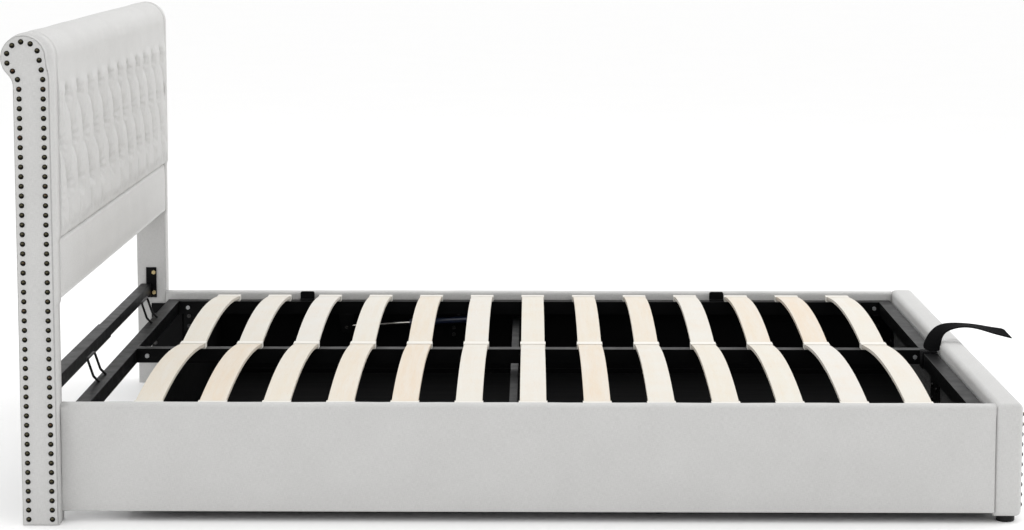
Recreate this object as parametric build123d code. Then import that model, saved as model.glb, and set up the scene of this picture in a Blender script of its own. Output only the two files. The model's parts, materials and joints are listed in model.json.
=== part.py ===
"""Upholstered storage bed with a scroll-top headboard and a slat frame that lifts on gas springs.

Millimetres. X runs from the head to the foot, Y across the bed (far side positive), Z up.
The origin is on the floor, under the middle of the whole bed's outline.
"""
import os
from math import atan2, cos, hypot, radians, sin, sqrt

from build123d import *

# Side rails and the bed's main sizes
rail_length = 2061.0
bed_width = 1612.0
rail_bottom = 23.0
rail_height = 242.0
rail_board_thickness = 19.0
cover_thickness = 6.0
rail_wrap_depth = 35.0
rail_top_rounding = 9.0
cut_overrun = 4.0

# Headboard posts with their scroll
post_depth = 80.0
post_thickness = 64.0
scroll_centre_height = 1029.0
scroll_radius = 49.5
scroll_overhang = 26.0
neck_radius = 36.0
shoulder_drop = 45.0
post_edge_rounding = 5.0

# Upholstery nails
nail_diameter = 12.0
nail_height = 3.6
nail_pitch = 21.0
nail_inset = 14.0
footboard_nail_inset = 16.0

# Headboard between the posts
headboard_bottom = 494.0
headboard_seam_height = 628.0
headboard_front_reach = 6.0
lower_pad_setback = 3.0
roll_radius = 56.0
roll_drop = 1.0
roll_padding = 12.0
headboard_back_inset = 4.0
back_cover_thickness = 4.0
panel_thickness = 12.0
frame_timber_thickness = 30.0
frame_timber_width = 60.0
frame_stiles = 3
panel_top_drop = 38.0
pad_edge_rounding = 10.0
underside_cover_thickness = 4.0

# Tufting of the headboard pad
tuft_pitch = 138.0
tuft_row_pitch = 102.0
tuft_top_drop = 90.0
tuft_seam_margin = 60.0
tuft_end_margin = 20.0
tuft_depth = 15.0
tuft_radius = 19.0
pleat_depth = 8.0
pleat_half_width = 30.0
seam_pleat_depth = 5.0
seam_pleat_half_width = 18.0
button_diameter = 20.0
button_thickness = 7.0
button_seat_clearance = 0.3

# Footboard in two halves
footboard_thickness = 60.0
footboard_bottom = 15.0
footboard_top_rise = 3.0
footboard_board_thickness = 30.0
footboard_padding = 11.0
footboard_top_rounding = 13.0
footboard_end_rounding = 9.0
split_gap = 1.0
joint_plate_length = 130.0
joint_plate_height = 70.0

# Round feet
foot_diameter = 41.0
foot_inset = 32.0
foot_taper = 2.0

# Storage floor and boards
ledge_leg = 20.0
ledge_thickness = 2.0
floor_thickness = 5.0
floor_side_gap = 0.3
floor_joint_gap = 1.0
head_end_board_thickness = 16.0
head_end_board_place = 138.0
head_end_board_drop = 77.0
beam_width = 19.0
beam_height = 40.0
beam_drop = 71.0
beam_wall = 1.5
beam_place = 996.5

# Head crossbar
sleeve_size = 32.0
sleeve_wall = 1.5
inner_tube_size = 28.5
inner_tube_wall = 1.5
crossbar_centre_height = 272.0
crossbar_setback = 55.0
sleeve_end_past_middle = 90.0
sleeve_overlap = 160.0
crossbar_bracket_width = 29.0
crossbar_bracket_height = 86.0
crossbar_bracket_bottom = 247.0

# Steel plates, brackets and bolts
plate_thickness = 3.0
corner_plate_on_post = 41.0
corner_plate_on_rail = 46.0
corner_plate_bottom = 60.0
corner_plate_drop = 35.0
foot_bracket_leg = 58.0
foot_bracket_bottom = 92.0
rest_pad_gap = 0.3
bolt_head_diameter = 12.0
bolt_head_height = 4.5
bolt_shank_diameter = 6.0
bolt_hole_clearance = 0.2
bolt_length = 16.0

# Slat frame of square steel tube
tube_width = 33.0
tube_height = 36.0
tube_wall = 1.5
frame_drop = 57.0
frame_side_gap = 18.0
frame_head_gap = 11.0
frame_foot_gap = 10.0
frame_bolt_length = 5.0
frame_bolt_head_setback = 26.0
frame_bolt_foot_setback = 14.0

# Bent slats and their caps
slat_stations = 13
first_slat_place = 174.0
last_slat_place = 150.0
slat_width = 59.0
slat_thickness = 8.0
slat_crown = 25.0
cap_base = 2.5
cap_wall = 2.2
cap_height = 14.0
cap_clearance = 0.2

# Mattress loops, stops and the pull strap
loop_wire_diameter = 6.0
loop_width = 93.0
loop_place = 405.0
loop_height = 55.0
loop_lean = 27.0
loop_foot_setback = 14.0
loop_bend_radius = 9.0
stop_width = 40.0
stop_height = 24.0
stop_foot = 18.0
stop_stations = (1, 9)
stop_shift_shares = (0.293, 0.931)
strap_width = 32.0
strap_thickness = 3.0
strap_reach = 130.0
strap_rise = 67.5
strap_side_gap = 8.0

# Lift hinge
pivot_place = 118.0
pivot_drop = 73.0
hinge_plate_head = 51.0
hinge_plate_foot = 135.0
hinge_plate_drop = 57.0
hinge_plate_height = 58.0
pin_radius = 6.0
pin_running_clearance = 0.05
pin_collar_radius = 9.0
pin_head_radius = 10.0
pin_head_length = 5.0
pin_side_clearance = 0.3
ear_length = 60.0
ear_radius = 14.0

# Gas springs
spring_stud_place = 903.0
spring_stud_drop = 72.0
rod_end_place = 517.0
rod_end_drop = 94.0
spring_plane_inset = 36.0
eye_radius = 9.0
eye_width = 10.0
stud_radius = 4.0
cylinder_radius = 10.0
cylinder_wall = 1.5
cylinder_start = 16.0
cylinder_length = 192.0
cylinder_end_cap = 5.0
rod_guide_length = 8.0
rod_radius = 5.0
rod_neck = 12.0
rod_slack = 1.0
piston_length = 8.0
spring_plate_length = 112.0
spring_plate_drop = 53.0
spring_plate_height = 82.0
frame_bracket_length = 44.0
frame_bracket_drop = 52.0
frame_bracket_hole_radius = 4.5

# Places worked out from the sizes above
total_length = post_depth + scroll_overhang + rail_length + footboard_thickness + strap_reach
rail_head_x = post_depth + scroll_overhang - total_length / 2
rail_foot_x = rail_head_x + rail_length
rail_top = rail_bottom + rail_height
rail_outer_y = bed_width / 2
board_outer_y = rail_outer_y - cover_thickness
board_inner_y = board_outer_y - rail_board_thickness
post_outer_y = board_inner_y + post_thickness
plate_inner_y = board_inner_y - plate_thickness
footboard_top = rail_top + footboard_top_rise
head_end_board_top = rail_top - head_end_board_drop
beam_top = rail_top - beam_drop
corner_plate_top = rail_top - corner_plate_drop
shoulder_height = scroll_centre_height - shoulder_drop
roll_centre_height = scroll_centre_height - roll_drop
panel_top = roll_centre_height - panel_top_drop
tuft_top_row_height = roll_centre_height - tuft_top_drop
tuft_rows = 1 + int((tuft_top_row_height - headboard_seam_height - tuft_seam_margin) / tuft_row_pitch)
tuft_columns = int(2 * (board_inner_y - tuft_end_margin) / tuft_pitch)
frame_bottom = rail_top - frame_drop
frame_top = frame_bottom + tube_height
frame_side_y = plate_inner_y - frame_side_gap
frame_side_inner_y = frame_side_y - tube_width
frame_head_x = rail_head_x + frame_head_gap
frame_foot_x = rail_foot_x - frame_foot_gap
first_slat_x = frame_head_x + first_slat_place
slat_pitch = (frame_foot_x - last_slat_place - first_slat_x) / (slat_stations - 1)
pivot_x = rail_head_x + pivot_place
pivot_height = rail_top - pivot_drop
hinge_plate_top = rail_top - hinge_plate_drop
hinge_plate_bottom = hinge_plate_top - hinge_plate_height
spring_stud_height = rail_top - spring_stud_drop
rod_end_height = rail_top - rod_end_drop
spring_plate_top = rail_top - spring_plate_drop
spring_plate_bottom = spring_plate_top - spring_plate_height
floor_bottom = rail_bottom + ledge_thickness
floor_top = floor_bottom + floor_thickness
head_board_x = rail_head_x + head_end_board_place
beam_x = rail_head_x + beam_place
footboard_front_x = rail_foot_x + footboard_thickness
headboard_front_x = rail_head_x + headboard_front_reach
panel_front_x = rail_head_x - post_depth + headboard_back_inset + back_cover_thickness \
    + frame_timber_thickness + panel_thickness
panel_back_x = panel_front_x - panel_thickness - frame_timber_thickness
roll_x = headboard_front_x - roll_radius


def block(x0, x1, y0, y1, z0, z1):
    """A rectangular block between two corners."""
    return Pos((x0 + x1) / 2, (y0 + y1) / 2, (z0 + z1) / 2) * Box(abs(x1 - x0), abs(y1 - y0), abs(z1 - z0))


def side_extrusion(face, y0, y1):
    """A face drawn in the X-Z plane, carried across the bed from y0 to y1."""
    return Pos(0, y0, 0) * extrude(face, amount=y1 - y0, dir=(0, 1, 0))


def side_face(*edges):
    """A face in the X-Z plane inside the given closed run of edges."""
    return make_face(Curve() + list(edges))


def side_polygon(*points):
    """A face in the X-Z plane with straight sides."""
    return make_face(Polyline(*[(x, 0, z) for x, z in points], close=True))


def rod_y(x, z, radius, y0, y1):
    """A round bar along Y from y0 to y1."""
    return Pos(x, (y0 + y1) / 2, z) * Rot(90, 0, 0) * Cylinder(radius, abs(y1 - y0))


def both_sides(shape):
    """The shape on the far side and its mirror image on the near side, as one group."""
    return Compound(list(shape.solids()) + list(mirror(shape, about=Plane.XZ).solids()))


def near(shape):
    """The mirror image on the near side of a far-side shape."""
    return mirror(shape, about=Plane.XZ)


def group(shapes):
    """Separate solids kept together as one node."""
    return Compound([solid for shape in shapes for solid in shape.solids()])


def square_tube(x0, x1, y0, y1, z0, z1, wall, along):
    """A rectangular tube between two corners, open at both ends along one axis."""
    grow = {"x": (-cut_overrun, wall, wall), "y": (wall, -cut_overrun, wall)}[along]
    bore = block(x0 + grow[0], x1 - grow[0], y0 + grow[1], y1 - grow[1], z0 + grow[2], z1 - grow[2])
    return block(x0, x1, y0, y1, z0, z1) - bore


def bolt(place, direction, length=bolt_length):
    """A hex-head bolt whose head stands on a plate's face and whose shank goes into it."""
    plane = Plane(origin=place, z_dir=direction)
    head = extrude(plane * RegularPolygon(bolt_head_diameter / 2, 6), amount=bolt_head_height)
    shank = extrude(plane * Circle(bolt_shank_diameter / 2), amount=-length)
    return head + shank


def drill(shape, places, direction, length=bolt_length):
    """The shape with a clearance hole for each bolt."""
    radius = bolt_shank_diameter / 2 + bolt_hole_clearance
    holes = []
    for place in places:
        plane = Plane(origin=place, z_dir=direction)
        start = plane * Pos(0, 0, -length - bolt_hole_clearance)
        holes.append(start * extrude(Circle(radius), amount=length + bolt_hole_clearance + cut_overrun))
    return shape - holes


def scroll_outline(inset):
    """The post's side outline, drawn in by the inset all round: straight leg, scroll rolled backwards."""
    back = rail_head_x - post_depth + inset
    front = rail_head_x - inset
    radius = scroll_radius - inset
    cx = rail_head_x - post_depth - scroll_overhang + scroll_radius
    cz = scroll_centre_height
    start = (cx + radius, 0, cz)
    over = (cx - radius * sin(radians(45)), 0, cz + radius * sin(radians(45)))
    # the hollow curve under the scroll touches the scroll's circle and the leg's back
    hollow_x = rail_head_x - post_depth - neck_radius
    hollow_z = cz - sqrt((scroll_radius + neck_radius) ** 2 - (hollow_x - cx) ** 2)
    hollow = neck_radius + inset
    turn = atan2(cz - hollow_z, cx - hollow_x)
    joint = (hollow_x + hollow * cos(turn), 0, hollow_z + hollow * sin(turn))
    middle = (hollow_x + hollow * cos(turn / 2), 0, hollow_z + hollow * sin(turn / 2))
    return [
        Line((back, 0, inset), (front, 0, inset)),
        Line((front, 0, inset), (front, 0, shoulder_height)),
        Spline((front, 0, shoulder_height), start, tangents=[(0, 0, 1), (0, 0, 1)]),
        ThreePointArc(start, over, joint),
        ThreePointArc(joint, middle, (back, 0, hollow_z)),
        Line((back, 0, hollow_z), (back, 0, inset)),
    ]


def post_core_shape():
    """The timber scroll post inside its cover, on the far side."""
    face = side_face(*scroll_outline(cover_thickness))
    return side_extrusion(face, board_inner_y + cover_thickness, post_outer_y - cover_thickness)


def post_cover_shape():
    """Foam and cloth round the post, with a softly rounded edge round each side face."""
    body = side_extrusion(side_face(*scroll_outline(0)), board_inner_y, post_outer_y)
    outer_edges = body.faces().sort_by(Axis.Y)[-1].edges()
    body = fillet(outer_edges, post_edge_rounding)
    return body - post_core_shape()


def nail(place, direction):
    """A domed upholstery nail head, flat on the cloth."""
    radius = nail_diameter / 2
    sphere_radius = (radius ** 2 + nail_height ** 2) / (2 * nail_height)
    crown = (0, nail_height)
    middle_x = radius * sin(radians(30))
    middle_z = sqrt(sphere_radius ** 2 - middle_x ** 2) - (sphere_radius - nail_height)
    outline = Curve() + [
        Line((0, 0), (radius, 0)),
        ThreePointArc((radius, 0), (middle_x, middle_z), crown),
        Line(crown, (0, 0)),
    ]
    dome = revolve(Plane.XZ * make_face(outline), Axis.Z)
    return Plane(origin=place, z_dir=direction) * dome


def post_nail_places():
    """Nail centres round the post's side face: two columns and the turn of the scroll, open at the floor."""
    edges = scroll_outline(nail_inset)[1:]
    wire = Wire(edges)
    count = round(wire.length / nail_pitch)
    return [wire @ (index / count) for index in range(count + 1)]


def nails():
    """All nails: round both posts' outer faces and up the footboard's two front edges."""
    heads = []
    for point in post_nail_places():
        heads.append(nail((point.X, post_outer_y, point.Z), (0, 1, 0)))
        heads.append(nail((point.X, -post_outer_y, point.Z), (0, -1, 0)))
    low = footboard_bottom + footboard_top_rounding + nail_diameter
    high = footboard_top - footboard_top_rounding - nail_diameter
    count = int((high - low) / nail_pitch)
    for index in range(count + 1):
        z = low + index * (high - low) / count
        for y in (rail_outer_y - footboard_nail_inset, footboard_nail_inset - rail_outer_y):
            heads.append(nail((footboard_front_x, y, z), (1, 0, 0)))
    return group(heads)


def headboard_frame():
    """Timber frame with a plywood panel on its front, between the posts."""
    back = panel_back_x
    front = panel_back_x + frame_timber_thickness
    low = headboard_bottom + underside_cover_thickness
    side = board_inner_y
    pieces = [
        block(back, front, -side, side, low, low + frame_timber_width),
        block(back, front, -side, side, panel_top - frame_timber_width, panel_top),
        block(front, panel_front_x, -side, side, low, panel_top),
    ]
    stile_low = low + frame_timber_width
    stile_high = panel_top - frame_timber_width
    for index in range(frame_stiles):
        reach = side - frame_timber_width / 2
        y = -reach + index * 2 * reach / (frame_stiles - 1)
        pieces.append(block(back, front, y - frame_timber_width / 2, y + frame_timber_width / 2,
                            stile_low, stile_high))
    return group(pieces)


def side_rectangle(x0, x1, z0, z1):
    """A rectangle in the X-Z plane between two corners."""
    return side_polygon((x0, z0), (x1, z0), (x1, z1), (x0, z1))


def headboard_roll_core():
    """The round core of the rolled top, flat where it sits on the frame."""
    core_radius = roll_radius - roll_padding
    roll = rod_y(roll_x, roll_centre_height, core_radius, -board_inner_y, board_inner_y)
    below = block(roll_x - roll_radius, roll_x + roll_radius, -bed_width, bed_width,
                  roll_centre_height - roll_radius, panel_top)
    return roll - below


def headboard_back_cover():
    """Cloth-covered back of the headboard, up to the roll's underside."""
    face = side_rectangle(panel_back_x - back_cover_thickness, panel_back_x,
                          headboard_bottom, roll_centre_height)
    roll = rod_y(roll_x, roll_centre_height, roll_radius, -bed_width, bed_width)
    return side_extrusion(face, -board_inner_y, board_inner_y) - roll


def tuft_places():
    """Tuft points row by row, every second row set over by half a pitch and one longer."""
    rows = []
    for row in range(tuft_rows):
        extra = row % 2
        count = tuft_columns + extra
        z = tuft_top_row_height - row * tuft_row_pitch
        rows.append([((index - (count - 1) / 2) * tuft_pitch, z) for index in range(count)])
    return rows


def pleat_cutter(start, end, half_width, depth):
    """A wedge that folds the pad's front face between two points given as (y, z)."""
    run = hypot(end[0] - start[0], end[1] - start[1])
    middle = ((start[0] + end[0]) / 2, (start[1] + end[1]) / 2)
    along = Vector(0, end[0] - start[0], end[1] - start[1])
    plane = Plane(origin=(headboard_front_x, middle[0], middle[1]), x_dir=(1, 0, 0), z_dir=along)
    share_out = cut_overrun / depth
    half_out = half_width * (1 + share_out)
    wedge = make_face(Polyline((-depth, 0), (cut_overrun, half_out), (cut_overrun, -half_out), close=True))
    return extrude(plane * Pos(0, 0, -run / 2) * wedge, amount=run, dir=along)


def headboard_tufted_pad():
    """Padded front between seam and roll, with its plain rolled top, sewn tufts and pleats."""
    front_pad = side_rectangle(panel_front_x, headboard_front_x, headboard_seam_height, roll_centre_height)
    body = side_extrusion(front_pad, -board_inner_y, board_inner_y)
    body += rod_y(roll_x, roll_centre_height, roll_radius, -board_inner_y, board_inner_y)
    body -= block(panel_back_x, panel_front_x, -bed_width, bed_width, headboard_bottom, panel_top)
    body -= block(panel_back_x - roll_radius, panel_back_x, -bed_width, bed_width, headboard_bottom,
                  roll_centre_height - roll_radius)
    body -= rod_y(roll_x, roll_centre_height, roll_radius - roll_padding, -bed_width, bed_width) \
        - block(roll_x - roll_radius, roll_x + roll_radius, -bed_width, bed_width,
                roll_centre_height - roll_radius, panel_top)
    body = max(body.solids(), key=lambda solid: solid.volume)
    seam_edge = body.edges().filter_by(Axis.Y).sort_by_distance(
        (headboard_front_x, 0, headboard_seam_height))[0]
    body = fillet(seam_edge, pad_edge_rounding)
    rows = tuft_places()
    cutters = []
    top_z = rows[0][0][1]
    low_z = rows[-1][0][1]
    lean = (tuft_rows - 1) * tuft_pitch / 2
    if top_z > low_z:
        for index in range(-1, tuft_columns + 1):
            y = (index - (tuft_columns - 1) / 2) * tuft_pitch
            for side in (-1, 1):
                cutters.append(pleat_cutter((y, top_z), (y + side * lean, low_z), pleat_half_width, pleat_depth))
    for y, z in rows[-1]:
        cutters.append(pleat_cutter((y, z), (y, headboard_seam_height - cut_overrun),
                                    seam_pleat_half_width, seam_pleat_depth))
    ball = tuft_sphere_radius()
    for row in rows:
        for y, z in row:
            cutters.append(Pos(headboard_front_x + ball - tuft_depth, y, z) * Sphere(ball))
    return body - cutters


def tuft_sphere_radius():
    """Radius of the ball that presses each tuft's hollow into the pad."""
    return (tuft_radius ** 2 + tuft_depth ** 2) / (2 * tuft_depth)


def tuft_buttons():
    """Cloth-covered buttons seated in the tufts' hollows."""
    ball = tuft_sphere_radius()
    seat = ball - sqrt(ball ** 2 - (button_diameter / 2 + button_seat_clearance) ** 2)
    floor_x = headboard_front_x - tuft_depth + seat
    buttons = []
    for row in tuft_places():
        for y, z in row:
            disc = Rot(0, 90, 0) * Cylinder(button_diameter / 2, button_thickness)
            disc = fillet(disc.edges().sort_by(Axis.X)[-1], button_thickness / 3)
            buttons.append(Pos(floor_x + button_thickness / 2, y, z) * disc)
    return buttons


def headboard_lower_pad():
    """Plain padded band below the seam, turned under the frame."""
    front = headboard_front_x - lower_pad_setback
    low = headboard_bottom
    under = low + underside_cover_thickness
    face = side_polygon((panel_back_x, low), (front, low), (front, headboard_seam_height),
                        (panel_front_x, headboard_seam_height), (panel_front_x, under), (panel_back_x, under))
    body = side_extrusion(face, -board_inner_y, board_inner_y)
    edges = body.edges().filter_by(Axis.Y).group_by(Axis.X)[-1]
    return fillet(edges, pad_edge_rounding)


def rail_bolt_places():
    """Bolt centres on the far rail's and post's inner face, by the plate that they hold."""
    y = plate_inner_y
    plate_height = corner_plate_top - corner_plate_bottom
    corner = [(rail_head_x - corner_plate_on_post * 3 / 4, y, corner_plate_bottom + plate_height / 3),
              (rail_head_x - corner_plate_on_post * 3 / 4, y, corner_plate_top - plate_height / 5),
              (rail_head_x + corner_plate_on_rail / 2, y, corner_plate_bottom + plate_height / 5),
              (rail_head_x + corner_plate_on_rail / 2, y, corner_plate_top - plate_height / 5)]
    bracket_height = frame_bottom - foot_bracket_bottom
    foot_bolt_x = rail_foot_x - foot_bracket_leg * 2 / 3
    foot = [(foot_bolt_x, y, foot_bracket_bottom + bracket_height / 3),
            (foot_bolt_x, y, foot_bracket_bottom + bracket_height * 2 / 3)]
    hinge_height = hinge_plate_top - hinge_plate_bottom
    hinge_bolt_z = hinge_plate_bottom + hinge_height / 4
    hinge = [(rail_head_x + hinge_plate_head + hinge_height / 4, y, hinge_bolt_z),
             (rail_head_x + hinge_plate_head + hinge_height / 4, y, hinge_plate_top - hinge_height / 4),
             (rail_head_x + hinge_plate_foot - hinge_height / 4, y, hinge_bolt_z)]
    plate_height = spring_plate_top - spring_plate_bottom
    plate_x = rail_head_x + spring_stud_place - spring_plate_length * 3 / 4
    spring = [(plate_x, y, spring_plate_bottom + plate_height / 7),
              (plate_x, y, spring_plate_bottom + plate_height * 3 / 8),
              (plate_x + spring_plate_length / 8, y, spring_plate_top - plate_height / 8)]
    return {"corner": corner, "foot": foot, "hinge": hinge, "spring": spring}


def footboard_bolt_places():
    """Bolt centres on the footboard's inner face: corner bracket and joint plate, far half."""
    x = rail_foot_x - plate_thickness
    bracket_height = frame_bottom - foot_bracket_bottom
    bracket_y = board_inner_y - foot_bracket_leg * 2 / 3
    plate_middle = foot_bracket_bottom + joint_plate_height / 2
    return [(x, bracket_y, foot_bracket_bottom + bracket_height / 3),
            (x, bracket_y, foot_bracket_bottom + bracket_height * 2 / 3),
            (x, joint_plate_length / 4, plate_middle - joint_plate_height / 4),
            (x, joint_plate_length / 4, plate_middle + joint_plate_height / 4)]


def crossbar_bolt_places():
    """Bolt centres on the crossbar bracket at the far post."""
    x = rail_head_x - crossbar_setback + crossbar_bracket_width * 3 / 4
    low = crossbar_bracket_bottom + crossbar_bracket_height / 6
    high = crossbar_bracket_bottom + crossbar_bracket_height * 5 / 6
    return [(x, plate_inner_y, low), (x, plate_inner_y, high)]


def all_side_bolts():
    """Every bolt centre that goes outwards into the far rail or post."""
    return [place for places in rail_bolt_places().values() for place in places] + crossbar_bolt_places()


def base_bolts():
    """Bolts of the base, with heads on the inner side."""
    bolts = []
    for x, y, z in all_side_bolts():
        bolts.append(bolt((x, y, z), (0, -1, 0)))
        bolts.append(bolt((x, -y, z), (0, 1, 0)))
    for x, y, z in footboard_bolt_places():
        bolts.append(bolt((x, y, z), (-1, 0, 0)))
        bolts.append(bolt((x, -y, z), (-1, 0, 0)))
    return group(bolts)


def rail_board():
    """Far side rail's board, black on its inner face."""
    board = block(rail_head_x + cover_thickness, rail_foot_x - cover_thickness, board_inner_y, board_outer_y,
                  rail_bottom + cover_thickness, rail_top - cover_thickness)
    return drill(board, all_side_bolts(), (0, -1, 0))


def rail_cover():
    """Foam and cloth round the far rail: outer face, top, bottom, ends and a lip down the inner face."""
    inner_lip_y = board_inner_y - cover_thickness
    lip_bottom = rail_top - rail_wrap_depth
    outer = block(rail_head_x, rail_foot_x, board_inner_y, rail_outer_y, rail_bottom, rail_top)
    lip = block(rail_head_x, rail_foot_x, inner_lip_y, board_inner_y, lip_bottom, rail_top)
    body = outer + lip
    top_edges = body.edges().filter_by(Axis.X).group_by(Axis.Z)[-1]
    body = fillet(top_edges, min(rail_top_rounding, (rail_outer_y - inner_lip_y) / 3))
    bottom_edge = body.edges().filter_by(Axis.X).sort_by_distance((0, rail_outer_y, rail_bottom))[0]
    body = fillet(bottom_edge, cover_thickness / 2)
    board = block(rail_head_x + cover_thickness, rail_foot_x - cover_thickness,
                  board_inner_y - cover_thickness / 2, board_outer_y,
                  rail_bottom + cover_thickness, rail_top - cover_thickness)
    lip_keep = block(rail_head_x + cover_thickness, rail_foot_x - cover_thickness,
                     inner_lip_y, board_inner_y, lip_bottom, rail_top - cover_thickness)
    body = body - (board - lip_keep)
    return drill(body, all_side_bolts(), (0, -1, 0))


def footboard_half():
    """Far half of the footboard: board and padded cover."""
    inner = split_gap / 2
    outer = side_rectangle(rail_foot_x, footboard_front_x, footboard_bottom, footboard_top)
    body = side_extrusion(outer, inner, rail_outer_y)
    top_edges = body.edges().filter_by(Axis.Y).group_by(Axis.Z)[-1]
    body = fillet(top_edges, footboard_top_rounding)
    end_edges = body.faces().sort_by(Axis.Y)[-1].edges()
    body = fillet(end_edges, footboard_end_rounding)
    inner_edges = body.faces().sort_by(Axis.Y)[0].edges()
    body = fillet(inner_edges, footboard_padding / 3)
    middle = (rail_foot_x + footboard_front_x) / 2
    board = block(middle - footboard_board_thickness / 2, middle + footboard_board_thickness / 2,
                  inner + footboard_padding, rail_outer_y - footboard_padding,
                  footboard_bottom + footboard_padding, footboard_top - footboard_padding)
    places = footboard_bolt_places()
    cover = drill(body - board, places, (-1, 0, 0))
    return drill(board, places, (-1, 0, 0)), cover


def feet():
    """Round plastic feet, two under each half of the footboard."""
    x = (rail_foot_x + footboard_front_x) / 2
    pad = Pos(0, 0, footboard_bottom / 2) * Cylinder(foot_diameter / 2, footboard_bottom)
    pad = chamfer(pad.edges().sort_by(Axis.Z)[0], foot_taper)
    places = [rail_outer_y - foot_inset, foot_inset * 2]
    return both_sides(group([Pos(x, y, 0) * pad for y in places]))


def floor_ledges():
    """Steel angles along the rails' inner faces, which carry the storage floor."""
    x0 = head_board_x
    x1 = rail_foot_x
    upright = block(x0, x1, board_inner_y - ledge_thickness, board_inner_y, rail_bottom, rail_bottom + ledge_leg)
    shelf = block(x0, x1, board_inner_y - ledge_leg, board_inner_y, rail_bottom, rail_bottom + ledge_thickness)
    return both_sides(upright + shelf)


def floor_panels():
    """Two black floor panels laid on the ledges, meeting under the crossbeam."""
    side = board_inner_y - ledge_thickness - floor_side_gap
    start = head_board_x + head_end_board_thickness
    halves = [(start, beam_x - floor_joint_gap / 2), (beam_x + floor_joint_gap / 2, rail_foot_x)]
    return group([block(x0, x1, -side, side, floor_bottom, floor_top) for x0, x1 in halves])


def head_end_board():
    """Upright board that closes the storage space at the head end."""
    x1 = head_board_x + head_end_board_thickness
    board = block(head_board_x, x1, -board_inner_y, board_inner_y, floor_bottom, head_end_board_top)
    slot = block(head_board_x - cut_overrun, x1 + cut_overrun, board_inner_y - ledge_thickness,
                 board_inner_y + cut_overrun, rail_bottom, rail_bottom + ledge_leg)
    return board - [slot, near(slot)]


def centre_beam():
    """Steel crossbeam between the rails at mid length."""
    return square_tube(beam_x - beam_width / 2, beam_x + beam_width / 2, -board_inner_y, board_inner_y,
                       beam_top - beam_height, beam_top, beam_wall, "y")


def head_corner_plate():
    """Far steel plate that joins rail and post."""
    plate = block(rail_head_x - corner_plate_on_post, rail_head_x + corner_plate_on_rail,
                  plate_inner_y, board_inner_y, corner_plate_bottom, corner_plate_top)
    return drill(plate, rail_bolt_places()["corner"], (0, -1, 0))


def foot_corner_bracket():
    """Far steel angle that joins rail and footboard, with a shelf that the slat frame rests on."""
    shelf_top = frame_bottom - rest_pad_gap
    x0 = rail_foot_x - foot_bracket_leg
    y0 = board_inner_y - foot_bracket_leg
    on_rail = block(x0, rail_foot_x, plate_inner_y, board_inner_y, foot_bracket_bottom, shelf_top)
    on_footboard = block(rail_foot_x - plate_thickness, rail_foot_x, y0, board_inner_y,
                         foot_bracket_bottom, shelf_top)
    shelf = block(x0, rail_foot_x, y0, board_inner_y, shelf_top - plate_thickness, shelf_top)
    bracket = drill(on_rail + on_footboard + shelf, rail_bolt_places()["foot"], (0, -1, 0))
    return drill(bracket, footboard_bolt_places(), (-1, 0, 0))


def footboard_joint_plate():
    """Flat steel plate across the split on the footboard's inner face."""
    plate = block(rail_foot_x - plate_thickness, rail_foot_x, -joint_plate_length / 2, joint_plate_length / 2,
                  foot_bracket_bottom, foot_bracket_bottom + joint_plate_height)
    places = footboard_bolt_places()
    places += [(x, -y, z) for x, y, z in places]
    return drill(plate, places, (-1, 0, 0))


def crossbar():
    """Telescoping crossbar between the posts: outer sleeve at the near side, inner tube at the far side."""
    x = rail_head_x - crossbar_setback
    z = crossbar_centre_height
    half = sleeve_size / 2
    sleeve = square_tube(x - half, x + half, -plate_inner_y, sleeve_end_past_middle,
                         z - half, z + half, sleeve_wall, "y")
    half = inner_tube_size / 2
    inner = square_tube(x - half, x + half, sleeve_end_past_middle - sleeve_overlap, plate_inner_y,
                        z - half, z + half, inner_tube_wall, "y")
    return sleeve, inner


def crossbar_bracket():
    """Far bracket plate between crossbar end and post, with a short shelf under the bar."""
    x0 = rail_head_x - crossbar_setback
    x1 = x0 + crossbar_bracket_width
    bar_low = crossbar_centre_height - sleeve_size / 2
    plate = block(x0, x1, plate_inner_y, board_inner_y,
                  crossbar_bracket_bottom, crossbar_bracket_bottom + crossbar_bracket_height)
    shelf = block(x0 - sleeve_size / 2, x0 + sleeve_size / 2, plate_inner_y - sleeve_size, board_inner_y,
                  bar_low - plate_thickness, bar_low)
    return drill(plate + shelf, crossbar_bolt_places(), (0, -1, 0))


def hinge_bracket():
    """Far plate on the rail that carries the lift hinge's pin."""
    plate = block(rail_head_x + hinge_plate_head, rail_head_x + hinge_plate_foot, plate_inner_y, board_inner_y,
                  hinge_plate_bottom, hinge_plate_top)
    bore = rod_y(pivot_x, pivot_height, pin_radius + pin_running_clearance,
                 plate_inner_y - cut_overrun, board_inner_y + cut_overrun)
    return drill(plate, rail_bolt_places()["hinge"], (0, -1, 0)) - bore


def hinge_pin():
    """Far shoulder pin: through the plate, a collar that spaces the ear, the bearing and a head."""
    ear_inner = frame_side_y - plate_thickness
    head_y = ear_inner - pin_side_clearance
    pin = rod_y(pivot_x, pivot_height, pin_radius, head_y, board_inner_y)
    collar = rod_y(pivot_x, pivot_height, pin_collar_radius, frame_side_y + pin_side_clearance, plate_inner_y)
    head = rod_y(pivot_x, pivot_height, pin_head_radius, head_y - pin_head_length, head_y)
    return pin + collar + head


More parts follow.
